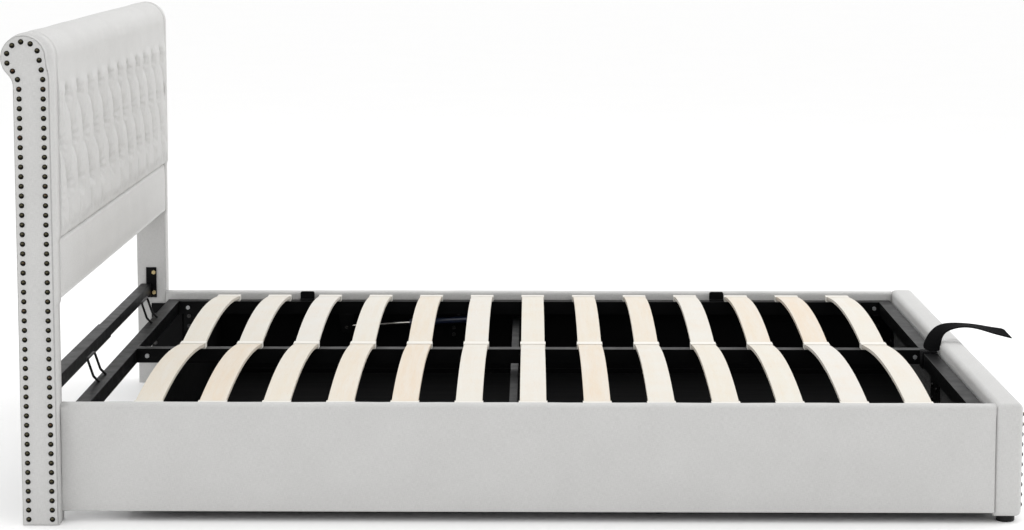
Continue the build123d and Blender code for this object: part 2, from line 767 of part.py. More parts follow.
def hinge_ear():
    """Far ear under the side tube, turning on the pin."""
    ear_face = side_polygon((pivot_x - ear_length / 2, frame_bottom), (pivot_x + ear_length / 2, frame_bottom),
                            (pivot_x + ear_radius, pivot_height), (pivot_x - ear_radius, pivot_height))
    ear_inner = frame_side_y - plate_thickness
    ear = side_extrusion(ear_face, ear_inner, frame_side_y)
    ear += rod_y(pivot_x, pivot_height, ear_radius, ear_inner, frame_side_y)
    ear -= block(pivot_x - ear_length, pivot_x + ear_length, ear_inner - cut_overrun,
                 frame_side_y + cut_overrun, frame_bottom, frame_top)
    bore = rod_y(pivot_x, pivot_height, pin_radius + pin_running_clearance,
                 ear_inner - cut_overrun, frame_side_y + cut_overrun)
    return ear - bore


def spring_y():
    """Middle of the far gas spring across the bed."""
    return board_inner_y - spring_plane_inset


def spring_rail_bracket():
    """Far plate on the rail with the stud that the cylinder's eye turns on."""
    x = rail_head_x + spring_stud_place
    x0 = x - spring_plate_length * 7 / 8
    x1 = x0 + spring_plate_length
    nose = spring_stud_height - eye_radius
    face = side_polygon((x0, spring_plate_bottom), (x0 + spring_plate_length / 4, spring_plate_bottom),
                        (x1, nose), (x1, spring_stud_height + eye_radius),
                        (x0 + spring_plate_length / 2, spring_plate_top), (x0, spring_plate_top))
    plate = side_extrusion(face, plate_inner_y, board_inner_y)
    eye_inner = spring_y() - eye_width / 2 - pin_side_clearance
    stud = rod_y(x, spring_stud_height, stud_radius, eye_inner - plate_thickness, plate_inner_y)
    head = rod_y(x, spring_stud_height, stud_radius * 3 / 2, eye_inner - plate_thickness, eye_inner)
    return drill(plate, rail_bolt_places()["spring"], (0, -1, 0)) + stud + head


def spring_frame_bracket():
    """Far plate under the side tube beside the rod end."""
    x = rail_head_x + rod_end_place
    half = frame_bracket_length / 2
    low = frame_bottom - frame_bracket_drop
    face = side_polygon((x - half, frame_bottom), (x + half, frame_bottom),
                        (x + half / 2, low), (x - half / 2, low))
    plate = side_extrusion(face, frame_side_inner_y, frame_side_inner_y + plate_thickness)
    hole = rod_y(x, rod_end_height, frame_bracket_hole_radius, frame_side_inner_y - cut_overrun,
                 frame_side_inner_y + plate_thickness + cut_overrun)
    return plate - hole


def spring_frame():
    """Plane at the rail stud whose Z runs along the closed gas spring towards its rod end."""
    run = Vector(rod_end_place - spring_stud_place, 0, rod_end_height - spring_stud_height)
    origin = (rail_head_x + spring_stud_place, spring_y(), spring_stud_height)
    return Plane(origin=origin, x_dir=(0, 1, 0), z_dir=run)


closed_length = hypot(rod_end_place - spring_stud_place, rod_end_height - spring_stud_height)


def bar_along(plane, start, end, radius):
    """A round bar along the plane's Z between two distances from its origin."""
    return plane * Pos(0, 0, (start + end) / 2) * Cylinder(radius, end - start)


def spring_cylinder():
    """Far gas spring cylinder: eye, closed end, tube and rod guide."""
    plane = spring_frame()
    x = rail_head_x + spring_stud_place
    end = cylinder_start + cylinder_length
    body = bar_along(plane, cylinder_start, end, cylinder_radius)
    chamber = bar_along(plane, cylinder_start + cylinder_end_cap, end - rod_guide_length,
                        cylinder_radius - cylinder_wall)
    guide = bar_along(plane, end - rod_guide_length - cut_overrun, end + cut_overrun,
                      rod_radius + pin_running_clearance)
    neck = bar_along(plane, eye_radius / 2, cylinder_start, rod_radius * 3 / 4)
    eye = rod_y(x, spring_stud_height, eye_radius, spring_y() - eye_width / 2, spring_y() + eye_width / 2)
    bore = rod_y(x, spring_stud_height, stud_radius + pin_running_clearance,
                 spring_y() - eye_width, spring_y() + eye_width)
    return body - chamber - guide + neck + eye - bore


def spring_rod():
    """Far gas spring rod: piston, rod and rod end, with the pin that reaches to the frame bracket."""
    plane = spring_frame()
    x = rail_head_x + rod_end_place
    start = cylinder_start + cylinder_end_cap + rod_slack
    piston_radius = cylinder_radius - cylinder_wall - pin_running_clearance
    rod = bar_along(plane, start, closed_length - rod_neck, rod_radius)
    rod += bar_along(plane, start, start + piston_length, piston_radius)
    rod += bar_along(plane, closed_length - rod_neck, closed_length, rod_radius * 3 / 4)
    half = eye_width / 2
    rod += rod_y(x, rod_end_height, eye_radius, spring_y() - half, spring_y() + half)
    rod -= rod_y(x, rod_end_height, stud_radius + pin_running_clearance,
                 spring_y() - eye_width, spring_y() + eye_width)
    pin_tip = frame_side_inner_y + plate_thickness + pin_side_clearance
    pin = rod_y(x, rod_end_height, stud_radius, pin_tip, spring_y() + half + pin_side_clearance)
    pin += rod_y(x, rod_end_height, stud_radius * 3 / 2, spring_y() + half + pin_side_clearance,
                 spring_y() + half + pin_side_clearance + plate_thickness)
    return group([rod, pin])


def frame_bolt_places():
    """Bolt centres of the slat frame: side tubes' and spine's faces near both ends, far half."""
    z = frame_bottom + tube_height / 2
    ends = (frame_head_x + tube_width + frame_bolt_head_setback,
            frame_foot_x - tube_width - frame_bolt_foot_setback)
    side = [((x, frame_side_inner_y, z), (0, -1, 0)) for x in ends]
    spine = [((x, tube_width / 2, z), (0, 1, 0)) for x in ends]
    return side + spine


def frame_bolts():
    """Bolts of the slat frame."""
    bolts = []
    for (x, y, z), (dx, dy, dz) in frame_bolt_places():
        bolts.append(bolt((x, y, z), (dx, dy, dz), frame_bolt_length))
        bolts.append(bolt((x, -y, z), (dx, -dy, dz), frame_bolt_length))
    return group(bolts)


def drill_frame(tube):
    """A frame tube with its bolt holes."""
    for (x, y, z), (dx, dy, dz) in frame_bolt_places():
        tube = drill(tube, [(x, y, z)], (dx, dy, dz), frame_bolt_length)
        tube = drill(tube, [(x, -y, z)], (dx, -dy, dz), frame_bolt_length)
    return tube


def frame_tubes():
    """The slat frame's five steel tubes."""
    x_in_head = frame_head_x + tube_width
    x_in_foot = frame_foot_x - tube_width
    low, high = frame_bottom, frame_top
    side = drill_frame(square_tube(x_in_head, x_in_foot, frame_side_inner_y, frame_side_y, low, high,
                                   tube_wall, "x"))
    spine = square_tube(x_in_head, x_in_foot, -tube_width / 2, tube_width / 2, low, high, tube_wall, "x")
    return {
        "frame_head_rail": square_tube(frame_head_x, x_in_head, -frame_side_y, frame_side_y, low, high,
                                       tube_wall, "y"),
        "frame_foot_rail": square_tube(x_in_foot, frame_foot_x, -frame_side_y, frame_side_y, low, high,
                                       tube_wall, "y"),
        "frame_side_far": side,
        "frame_side_near": near(side),
        "frame_spine": drill_frame(spine),
    }


def slat_profile(y0, y1, low, thickness, grow):
    """A bent slat's side profile in the Y-Z plane, crowned between its ends, thickened by grow."""
    middle = (y0 + y1) / 2
    bottom = low - grow
    top = low + thickness + grow
    edges = [
        ThreePointArc((0, y0, bottom), (0, middle, bottom + slat_crown), (0, y1, bottom)),
        Line((0, y1, bottom), (0, y1, top)),
        ThreePointArc((0, y1, top), (0, middle, top + slat_crown), (0, y0, top)),
        Line((0, y0, top), (0, y0, bottom)),
    ]
    return make_face(Curve() + edges)


def slat_x(station):
    """Middle of a slat station along the bed."""
    return first_slat_x + station * slat_pitch


def slat_solid(x, width, grow):
    """A far-row slat at x; grown by a clearance it is the cutter for its caps' slots."""
    y0 = cap_wall / 2 + cap_clearance - grow
    y1 = frame_side_y - cap_wall - cap_clearance + grow
    face = slat_profile(y0, y1, frame_top + cap_base + cap_clearance, slat_thickness, grow)
    return Pos(x - width / 2, 0, 0) * extrude(face, amount=width, dir=(1, 0, 0))


def slat_pair(station):
    """The far and near slat of one station."""
    return both_sides(slat_solid(slat_x(station), slat_width, 0))


def slat_caps():
    """Plastic caps on side tubes and spine that hold the slats' ends."""
    caps = []
    half = slat_width / 2 + cap_clearance + cap_wall
    for station in range(slat_stations):
        x = slat_x(station)
        slot = slat_solid(x, slat_width + 2 * cap_clearance, cap_clearance)
        side = block(x - half, x + half, frame_side_inner_y, frame_side_y, frame_top, frame_top + cap_height)
        centre = block(x - half, x + half, -tube_width / 2, tube_width / 2, frame_top, frame_top + cap_height)
        caps += [side - slot, near(side - slot), centre - slot - near(slot)]
    return group(caps)


def mattress_loops():
    """Two wire loops that lean out over the head rail."""
    x = frame_head_x + loop_foot_setback
    top_x = x - loop_lean
    knee_z = frame_top + loop_height / 4
    top_z = frame_top + loop_height
    loops = []
    for y in (loop_place, -loop_place):
        a = y - loop_width / 2
        b = y + loop_width / 2
        points = [(x, a, frame_top), (x - loop_lean / 2, a, knee_z), (top_x, a, top_z),
                  (top_x, b, top_z), (x - loop_lean / 2, b, knee_z), (x, b, frame_top)]
        path = FilletPolyline(*points, radius=loop_bend_radius)
        start = Plane(origin=path @ 0, z_dir=path % 0)
        wire = sweep(start * Circle(loop_wire_diameter / 2), path=path)
        floor = block(x - loop_lean * 2, x + loop_lean * 2, a - loop_width, b + loop_width,
                      frame_bottom, frame_top)
        loops.append(wire - floor)
    return group(loops)


def mattress_stops():
    """Two black tabs on the far side tube, each in a gap between slats, that keep the mattress in place."""
    cap_length = slat_width + 2 * (cap_clearance + cap_wall)
    play = (slat_pitch - cap_length - stop_width) / 2
    stops = []
    for station, share in zip(stop_stations, stop_shift_shares):
        x = slat_x(station) + slat_pitch / 2 + share * play
        upright = block(x - stop_width / 2, x + stop_width / 2, frame_side_y - plate_thickness, frame_side_y,
                        frame_top, frame_top + stop_height)
        foot = block(x - stop_width / 2, x + stop_width / 2, frame_side_y - stop_foot, frame_side_y,
                     frame_top, frame_top + plate_thickness)
        tab = upright + foot
        corners = tab.edges().filter_by(Axis.Y).group_by(Axis.Z)[-1]
        stops.append(fillet(corners, plate_thickness * 2))
    return group(stops)


# The strap's middle line above the foot rail: along as shares of its run, up as shares of its rise,
# and how far its width is turned up from level there, in degrees
strap_route = [(0.0, 0.0, 55), (0.01, 0.245, 45), (0.04, 0.51, 35), (0.095, 0.78, 28), (0.195, 0.94, 18),
               (0.38, 1.0, 4), (0.56, 0.94, 8), (0.75, 0.79, 18), (0.88, 0.72, 25), (1.0, 0.61, 28)]


def strap_tail(y):
    """The strap's free part: rises from the foot rail with a twist and hangs out over the footboard."""
    x0 = frame_foot_x - tube_width / 3
    x1 = footboard_front_x + strap_reach
    z0 = frame_top + strap_thickness / 2
    middle = [(x0 + along * (x1 - x0), z0 + up * strap_rise) for along, up, turn in strap_route]
    sections = []
    for index, (x, z) in enumerate(middle):
        before = middle[max(index - 1, 0)]
        after = middle[index + 1] if index + 1 < len(middle) else (x1 + strap_thickness, before[1])
        run = hypot(after[0] - before[0], after[1] - before[1])
        ahead = ((after[0] - before[0]) / run, 0, (after[1] - before[1]) / run)
        turn = radians(strap_route[index][2])
        across = (-ahead[2] * sin(turn), cos(turn), ahead[0] * sin(turn))
        plane = Plane(origin=(x, y, z), x_dir=across, z_dir=ahead)
        sections.append(plane * Rectangle(strap_width, strap_thickness))
    return loft(sections, ruled=True)


def pull_strap():
    """Webbing looped round the foot rail, with a free end that rises over the footboard."""
    band_outer = side_rectangle(frame_foot_x - tube_width - strap_thickness, frame_foot_x + strap_thickness,
                                frame_bottom - strap_thickness, frame_top + strap_thickness)
    band_inner = side_rectangle(frame_foot_x - tube_width, frame_foot_x, frame_bottom, frame_top)
    y = -(tube_width / 2 + strap_side_gap + strap_width)
    outer = side_extrusion(band_outer, y, y + strap_width)
    inside = side_extrusion(band_inner, y - cut_overrun, y + strap_width + cut_overrun)
    return outer + strap_tail(y + strap_width / 2) - inside


def build():
    """Every node's shape by name."""
    core = post_core_shape()
    cover = post_cover_shape()
    for place in [crossbar_bolt_places(), rail_bolt_places()["corner"]]:
        core = drill(core, place, (0, -1, 0))
        cover = drill(cover, place, (0, -1, 0))
    board, half_cover = footboard_half()
    sleeve, inner_tube = crossbar()
    rail_wrap = rail_cover()
    cylinder = spring_cylinder()
    rod = spring_rod()
    nodes = {
        "post_cores": both_sides(core),
        "post_cover_far": cover,
        "post_cover_near": near(cover),
        "upholstery_nails": nails(),
        "headboard_frame": headboard_frame(),
        "headboard_back_cover": headboard_back_cover(),
        "headboard_roll_core": headboard_roll_core(),
        "headboard_tufted_pad": headboard_tufted_pad(),
        "headboard_lower_pad": headboard_lower_pad(),
        "tuft_buttons": group(tuft_buttons()),
        "rail_boards": both_sides(rail_board()),
        "rail_cover_far": rail_wrap,
        "rail_cover_near": near(rail_wrap),
        "footboard_boards": both_sides(board),
        "footboard_cover_far": half_cover,
        "footboard_cover_near": near(half_cover),
        "footboard_joint_plate": footboard_joint_plate(),
        "feet": feet(),
        "floor_ledges": floor_ledges(),
        "floor_panels": floor_panels(),
        "head_end_board": head_end_board(),
        "centre_beam": centre_beam(),
        "head_corner_plates": both_sides(head_corner_plate()),
        "foot_corner_brackets": both_sides(foot_corner_bracket()),
        "crossbar_sleeve": sleeve,
        "crossbar_inner_tube": inner_tube,
        "crossbar_brackets": both_sides(crossbar_bracket()),
        "base_bolts": base_bolts(),
        "hinge_brackets": both_sides(hinge_bracket()),
        "hinge_pins": both_sides(hinge_pin()),
        "hinge_ears": both_sides(hinge_ear()),
        "spring_rail_brackets": both_sides(spring_rail_bracket()),
        "spring_frame_brackets": both_sides(spring_frame_bracket()),
        "spring_cylinder_far": cylinder,
        "spring_cylinder_near": near(cylinder),
        "spring_rod_far": rod,
        "spring_rod_near": near(rod),
        "frame_bolts": frame_bolts(),
        "slat_caps": slat_caps(),
        "mattress_loops": mattress_loops(),
        "mattress_stops": mattress_stops(),
        "pull_strap": pull_strap(),
    }
    nodes.update(frame_tubes())
    for station in range(slat_stations):
        nodes[f"slat_pair_{station + 1:02d}"] = slat_pair(station)
    return nodes


def main():
    """Write one STEP file for each node."""
    os.makedirs("parts", exist_ok=True)
    for name, shape in build().items():
        export_step(shape, f"parts/{name}.step")


main()
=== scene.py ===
import json
from functools import partial
from math import atan2, ceil, cos, exp, pi, radians, sin

import bmesh
import bpy
from mathutils import Matrix, Vector, kdtree, noise


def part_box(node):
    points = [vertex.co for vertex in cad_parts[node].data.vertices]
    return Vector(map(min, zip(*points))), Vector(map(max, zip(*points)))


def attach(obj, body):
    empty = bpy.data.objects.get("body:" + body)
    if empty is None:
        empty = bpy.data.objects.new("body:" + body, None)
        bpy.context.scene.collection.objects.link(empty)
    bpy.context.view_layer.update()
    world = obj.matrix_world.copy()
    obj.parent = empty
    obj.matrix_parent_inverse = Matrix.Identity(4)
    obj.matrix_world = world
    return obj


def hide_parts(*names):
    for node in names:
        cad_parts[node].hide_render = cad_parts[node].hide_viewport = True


# An upholstered storage bed: scroll headboard with tufts, and a slat frame that lifts on gas springs
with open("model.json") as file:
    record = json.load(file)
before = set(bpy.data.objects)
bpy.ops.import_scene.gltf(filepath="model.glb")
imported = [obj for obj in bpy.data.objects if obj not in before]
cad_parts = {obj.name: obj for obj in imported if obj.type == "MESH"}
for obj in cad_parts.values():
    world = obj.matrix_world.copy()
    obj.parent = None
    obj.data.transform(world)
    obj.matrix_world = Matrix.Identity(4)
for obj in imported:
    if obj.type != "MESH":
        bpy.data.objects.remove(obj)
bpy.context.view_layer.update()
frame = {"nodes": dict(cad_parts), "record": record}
scene = bpy.context.scene
scene.view_settings.view_transform = "Standard"
print("frame loaded")


def addObject(name, data):
    made = bpy.data.objects.new(name, data)
    scene.collection.objects.link(made)
    return made


cameraView = {
    "place": (-0.0345, -6.1317, 1.3639),
    "tiltDown": 6.754,
    "turn": 0.572,
    "lens": 86.6,
    "shiftX": 0.0052,
    "shiftY": -0.07,
    "clipEnd": 200.0,
}


def placeCamera(view):
    camera = addObject("photoCamera", bpy.data.cameras.new("photoCamera"))
    camera.data.lens = view["lens"]
    camera.data.shift_x = view["shiftX"]
    camera.data.shift_y = view["shiftY"]
    camera.data.clip_end = view["clipEnd"]
    camera.location = view["place"]
    camera.rotation_euler = (radians(90 - view["tiltDown"]), 0, radians(view["turn"]))
    scene.camera = camera


placeCamera(cameraView)

studio = {
    "skyColour": (1.0, 1.0, 1.0, 1.0),
    "skyStrength": 1.0,
    "softboxes": {  # place, size, power and what it is aimed at
        "topSoftbox": ((0.2, 0.2, 4.2), (6.0, 5.0), 56.0, (0.0, 0.0, 0.4)),
        "sideSoftbox": ((-4.2, -4.2, 2.4), (3.0, 3.0), 20.0, (0.0, 0.0, 0.4)),
        "footSoftbox": ((4.6, 1.0, 2.3), (3.0, 3.0), 62.0, (-1.1, 0.0, 0.85)),
    },
}


def lightStudio(values):
    scene.world = bpy.data.worlds.new("studioWorld")
    scene.world.use_nodes = True
    sky = scene.world.node_tree.nodes["Background"].inputs
    sky["Color"].default_value = values["skyColour"]
    sky["Strength"].default_value = values["skyStrength"]
    for name, (place, size, power, aim) in values["softboxes"].items():
        lamp = addObject(name, bpy.data.lights.new(name, "AREA"))
        lamp.data.shape = "RECTANGLE"
        lamp.data.size, lamp.data.size_y = size
        lamp.data.energy = power
        lamp.location = place
        lamp.rotation_euler = (Vector(aim) - Vector(place)).to_track_quat("-Z", "Y").to_euler()


lightStudio(studio)
print("camera and lights placed")


# Small helpers for node trees: a new node joins the tree of the sockets that it is given
def putNode(kind, inputs, **settings):
    tree = next(value.id_data for value in inputs.values() if isinstance(value, bpy.types.NodeSocket))
    made = tree.nodes.new("ShaderNode" + kind)
    for name, value in settings.items():
        setattr(made, name, value)
    for name, value in inputs.items():
        if isinstance(value, bpy.types.NodeSocket):
            tree.links.new(value, made.inputs[name])
        else:
            made.inputs[name].default_value = value
    return made.outputs


def doMath(operation, *values, clamp=False):
    return putNode("Math", dict(enumerate(values)), operation=operation, use_clamp=clamp)[0]


plus, minus, times, divide, absolute, sine, isAbove, isBelow = [
    partial(doMath, operation) for operation in
    ("ADD", "SUBTRACT", "MULTIPLY", "DIVIDE", "ABSOLUTE", "SINE", "GREATER_THAN", "LESS_THAN")]


def between(share, first, second):
    # the first value where the share is 0, the second where it is 1
    return plus(first, times(share, minus(second, first)))


def remap(value, low, high, toLow=0.0, toHigh=1.0):
    inputs = {"Value": value, "From Min": low, "From Max": high, "To Min": toLow, "To Max": toHigh}
    return putNode("MapRange", inputs)["Result"]


def mixColours(share, first, second):
    return putNode("Mix", {0: share, 6: first, 7: second}, data_type="RGBA")[2]


def splitUp(vector):
    return putNode("SeparateXYZ", {0: vector})


def drawnOut(vector, scale):
    return putNode("Mapping", {"Vector": vector, "Scale": scale})["Vector"]


def noiseValue(vector, scale, detail=3.0, roughness=0.5, distortion=0.0):
    inputs = {"Vector": vector, "Scale": scale, "Detail": detail, "Roughness": roughness, "Distortion": distortion}
    return putNode("TexNoise", inputs)[0]


def addBump(height, strength, distance, normal=None):
    inputs = {"Height": height, "Strength": strength, "Distance": distance}
    if normal is not None:
        inputs["Normal"] = normal
    return putNode("Bump", inputs)[0]


def coordsOf(tree):
    return tree.nodes.new("ShaderNodeTexCoord").outputs


def wire(inputs, values):
    for title, value in values.items():
        value.id_data.links.new(value, inputs[title])


def startGroup(name, inputs, *outputs):
    # three numbers make a vector socket, one number a float socket
    tree = bpy.data.node_groups.new(name, "ShaderNodeTree")
    for title, value in inputs.items():
        kind = "NodeSocketVector" if isinstance(value, tuple) else "NodeSocketFloat"
        tree.interface.new_socket(name=title, in_out="INPUT", socket_type=kind).default_value = value
    for title in outputs:
        kind = "NodeSocketVector" if title == "Normal" else "NodeSocketFloat"
        tree.interface.new_socket(name=title, in_out="OUTPUT", socket_type=kind)
    return tree, tree.nodes.new("NodeGroupInput").outputs, tree.nodes.new("NodeGroupOutput").inputs


def putGroup(tree, group, inputs):
    made = tree.nodes.new("ShaderNodeGroup")
    made.node_tree = group
    for name, value in inputs.items():
        made.inputs[name].default_value = value
    return made.outputs


# Plain weave of slubby threads, laid along whichever way the surface faces
def makeWeaveGroup():
    tree, given, result = startGroup("threadWeave", {"Thread": 0.0009, "Slub": 0.012}, "Tone", "Height")
    coords = coordsOf(tree)
    place = splitUp(coords["Object"])
    facing = splitUp(coords["Normal"])
    sideways, lengthways, upright = [absolute(facing[axis]) for axis in "XYZ"]
    isEnd = isAbove(sideways, lengthways)
    isTop = isAbove(upright, doMath("MAXIMUM", sideways, lengthways))
    across = between(times(isEnd, minus(1.0, isTop)), place["X"], place["Y"])
    along = between(isTop, place["Z"], place["Y"])
    flat = putNode("CombineXYZ", {"X": across, "Y": along})[0]
    wander = times(minus(noiseValue(flat, 60.0, 2.0), 0.5), times(given["Thread"], 2.5))
    warp, weft = [sine(times(divide(plus(way, wander), given["Thread"]), pi)) for way in (across, along)]
    height = between(isAbove(times(warp, weft), 0.0), absolute(weft), absolute(warp))
    slubSize = divide(1.0, given["Slub"])
    slubs = plus(*[noiseValue(drawnOut(flat, scale), slubSize, 2.0, 0.6)
                   for scale in ((1.0, 9.0, 1.0), (9.0, 1.0, 1.0))])
    wire(result, {"Tone": times(slubs, 0.5), "Height": plus(height, times(slubs, 0.8))})
    return tree


# Rounded-over edges: a softened normal, and a mask of where it differs from the true face
def makeEdgeGroup():
    tree, given, result = startGroup("edgeWear", {"Reach": 0.0012, "Breakup": 90.0}, "Mask", "Normal")
    soft = putNode("Bevel", {"Radius": given["Reach"]}, samples=4)[0]
    flatNormal = tree.nodes.new("ShaderNodeNewGeometry").outputs["True Normal"]
    agree = putNode("VectorMath", {0: soft, 1: flatNormal}, operation="DOT_PRODUCT")["Value"]
    edge = remap(agree, 0.99, 0.80)
    patchy = remap(noiseValue(coordsOf(tree)["Object"], given["Breakup"], 4.0, 0.65), 0.42, 0.62)
    wire(result, {"Mask": times(edge, patchy, clamp=True), "Normal": soft})
    return tree


# Straight-grained timber: fine pores and broad streaks, drawn out along the board
def makeGrainGroup():
    tree, given, result = startGroup("timberGrain", {"Stretch": (220.0, 5.0, 220.0)}, "Streak", "Pores")
    place = coordsOf(tree)["Object"]
    drawn = putNode("VectorMath", {0: place, 1: given["Stretch"]}, operation="MULTIPLY")[0]
    broad = noiseValue(drawn, 0.25, 3.0, 0.5, 0.6)
    fine = noiseValue(drawn, 1.6, 4.0, 0.6, 0.2)
    wire(result, {"Streak": plus(times(broad, 0.6), times(fine, 0.4)),
                  "Pores": remap(noiseValue(drawn, 4.0, 2.0, 0.7), 0.62, 0.72)})
    return tree


# A thin film of dust with specks, mostly where a surface faces up
def makeDustGroup():
    tree, given, result = startGroup("dustFilm", {"Amount": 0.3, "Speck": 500.0}, "Mask")
    coords = coordsOf(tree)
    lying = remap(splitUp(coords["Normal"])["Z"], 0.2, 0.9, 0.15, 1.0)
    clouds = remap(noiseValue(coords["Object"], 7.0, 4.0, 0.6), 0.35, 0.75)
    specks = remap(noiseValue(coords["Object"], given["Speck"], 1.0, 0.5), 0.66, 0.74)
    film = plus(times(clouds, 0.6), times(specks, 0.5))
    wire(result, {"Mask": times(times(film, lying), given["Amount"], clamp=True)})
    return tree


def wearEdges(tree, reach, breakup):
    return putGroup(tree, edgeWear, {"Reach": reach, "Breakup": breakup})


threadWeave = makeWeaveGroup()
edgeWear = makeEdgeGroup()
timberGrain = makeGrainGroup()
dustFilm = makeDustGroup()


def startMaterial(name, specular=0.5, fixed=()):
    material = bpy.data.materials.new(name)
    material.use_nodes = True
    shader = material.node_tree.nodes["Principled BSDF"].inputs
    shader["Specular IOR Level"].default_value = specular
    for title, value in dict(fixed).items():
        shader[title].default_value = value
    return material, material.node_tree


def finishMaterial(material, colour, roughness, normal):
    wire(material.node_tree.nodes["Principled BSDF"].inputs,
         {"Base Color": colour, "Roughness": roughness, "Normal": normal})
    return material


linenLook = {
    "pale": (0.600, 0.597, 0.588, 1.0),
    "shade": (0.500, 0.497, 0.489, 1.0),
    "sheen": 0.18,
    "thread": 0.0009,
    "slub": 0.010,
    "weaveDepth": 0.00035,
    "softDents": 0.0012,
    # the near black of the painted shade on the footboard's inner face, and where it stops
    "paintedShadeBlack": (0.0042, 0.0042, 0.0046, 1.0),
    "paintedShadeTop": 0.228,
    "paintedShadeGap": 0.001,
    "paintedShadeReach": 0.004,
}


def makeLinen(look):
    material, tree = startMaterial("offWhiteLinen", 0.25, {"Sheen Weight": look["sheen"], "Sheen Roughness": 0.55})
    weave = putGroup(tree, threadWeave, {"Thread": look["thread"], "Slub": look["slub"]})
    coords = coordsOf(tree)
    patches = noiseValue(coords["Object"], 9.0, 3.0, 0.6)
    tone = plus(times(remap(weave["Tone"], 0.38, 0.62), 0.75), times(remap(patches, 0.3, 0.7), 0.25))
    # painted shade: the footboard's inner face is painted near black up to the slat frame, where it lies in shade
    # inside the bed
    spot = splitUp(coords["Object"])
    facing = splitUp(coords["Normal"])
    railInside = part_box("rail_cover_far")[0].y - look["paintedShadeGap"]
    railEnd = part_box("rail_boards")[1].x - look["paintedShadeReach"]
    footInside = times(isAbove(spot["X"], railEnd), isBelow(facing["X"], -0.2))
    paintedShadeMask = times(times(footInside, isBelow(absolute(spot["Y"]), railInside)), isBelow(spot["Z"], look["paintedShadeTop"]))
    cloth = mixColours(tone, look["shade"], look["pale"])
    dents = addBump(noiseValue(coords["Object"], 16.0, 2.0), 0.6, look["softDents"])
    return finishMaterial(
        material, mixColours(paintedShadeMask, cloth, look["paintedShadeBlack"]), remap(weave["Height"], 0.2, 1.6, 0.94, 0.82),
        addBump(weave["Height"], 0.5, look["weaveDepth"], dents))


bronzeLook = {
    # the rim colour is partly patina and partly painted shade; the olive and copper carry a painted highlight as
    # well as rubbed wear
    "rim": (0.004, 0.0038, 0.0026, 1.0),
    "olive": (0.15, 0.135, 0.082, 1.0),
    "copper": (0.19, 0.098, 0.055, 1.0),
    "mottle": 520.0,
}


def makeBronze(look):
    material, tree = startMaterial("agedBronze", fixed={"Metallic": 0.9})
    coords = coordsOf(tree)
    place = coords["Object"]
    facing = splitUp(coords["Normal"])
    # a post nail's crown faces sideways, a footboard nail's faces the foot: the rim stays near black, partly patina
    # and partly painted shade
    onFoot = isAbove(splitUp(place)["X"], 0.0)
    sideCrown = times(absolute(facing["Y"]), minus(1.0, onFoot))
    footCrown = times(absolute(facing["X"]), onFoot)
    # painted highlight: the crown is made bright, partly as rubbed wear, but only on its upper half, where the light
    # from above falls; its lower half is painted shade
    crown = times(remap(plus(sideCrown, footCrown), 0.72, 0.97), remap(facing["Z"], -0.12, 0.42))
    mottle = remap(noiseValue(place, look["mottle"], 3.0, 0.6), 0.3, 0.7, 0.55, 1.0)
    redder = remap(noiseValue(place, 31.0, 1.0), 0.64, 0.69)
    # the bright metal colour, for rubbed wear and for the painted highlight
    worn = mixColours(redder, look["olive"], look["copper"])
    return finishMaterial(
        material, mixColours(times(crown, mottle), look["rim"], worn), remap(mottle, 0.5, 1.0, 0.45, 0.30),
        addBump(mottle, 0.4, 0.0002))


birchLook = {
    "cream": (0.675, 0.633, 0.53, 1.0),
    "peach": (0.685, 0.56, 0.43, 1.0),
    "white": (0.685, 0.667, 0.625, 1.0),
    "glue": (0.46, 0.33, 0.20, 1.0),
    "stretch": (260.0, 5.0, 260.0),
    "slatPitch": 0.143,
    "plyThickness": 0.0016,
    "crown": 0.025,
    "middle": 0.379,
    "halfSpan": 0.3775,
}


def makeBirch(look):
    material, tree = startMaterial("sandedBirch", 0.35)
    grain = putGroup(tree, timberGrain, {"Stretch": look["stretch"]})
    coords = coordsOf(tree)
    place = splitUp(coords["Object"])
    # each slat has its own tone: its station along the bed and its side pick it
    low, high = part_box("slat_pair_01")
    station = doMath("ROUND", divide(minus(place["X"], (low.x + high.x) / 2), look["slatPitch"]))
    pick = putNode("CombineXYZ", {"X": station, "Y": doMath("SIGN", place["Y"])})[0]
    chance = putNode("TexWhiteNoise", {"Vector": pick}, noise_dimensions="3D")[0]
    own = mixColours(chance, look["cream"], look["white"])
    own = mixColours(remap(chance, 0.0, 0.35, 0.75, 0.0), own, look["peach"])
    clouds = noiseValue(coords["Object"], 14.0, 3.0, 0.6)
    dull = mixColours(remap(clouds, 0.35, 0.7, 0.0, 0.35), own, look["peach"])
    streaky = mixColours(remap(grain["Streak"], 0.35, 0.65, 0.0, 0.55), dull, look["white"])
    dark = mixColours(times(grain["Pores"], 0.35), streaky, look["glue"])
    # the veneers show on a slat's long edges and follow its bend
    spanShare = divide(minus(absolute(place["Y"]), look["middle"]), look["halfSpan"])
    bend = times(minus(1.0, times(spanShare, spanShare)), look["crown"])
    layer = divide(minus(place["Z"], bend), look["plyThickness"])
    seam = remap(absolute(minus(doMath("FRACT", layer), 0.5)), 0.34, 0.46)
    edgeOn = remap(absolute(splitUp(coords["Normal"])["X"]), 0.75, 0.9)
    edge = wearEdges(tree, 0.0012, 60.0)
    return finishMaterial(
        material, mixColours(times(times(seam, edgeOn), 0.45), dark, look["glue"]),
        remap(grain["Streak"], 0.3, 0.7, 0.62, 0.48), addBump(grain["Streak"], 0.35, 0.0004, edge["Normal"]))


pineLook = {
    "pale": (0.72, 0.54, 0.34, 1.0),
    "dark": (0.45, 0.28, 0.14, 1.0),
    "stretch": (90.0, 4.0, 90.0),
}


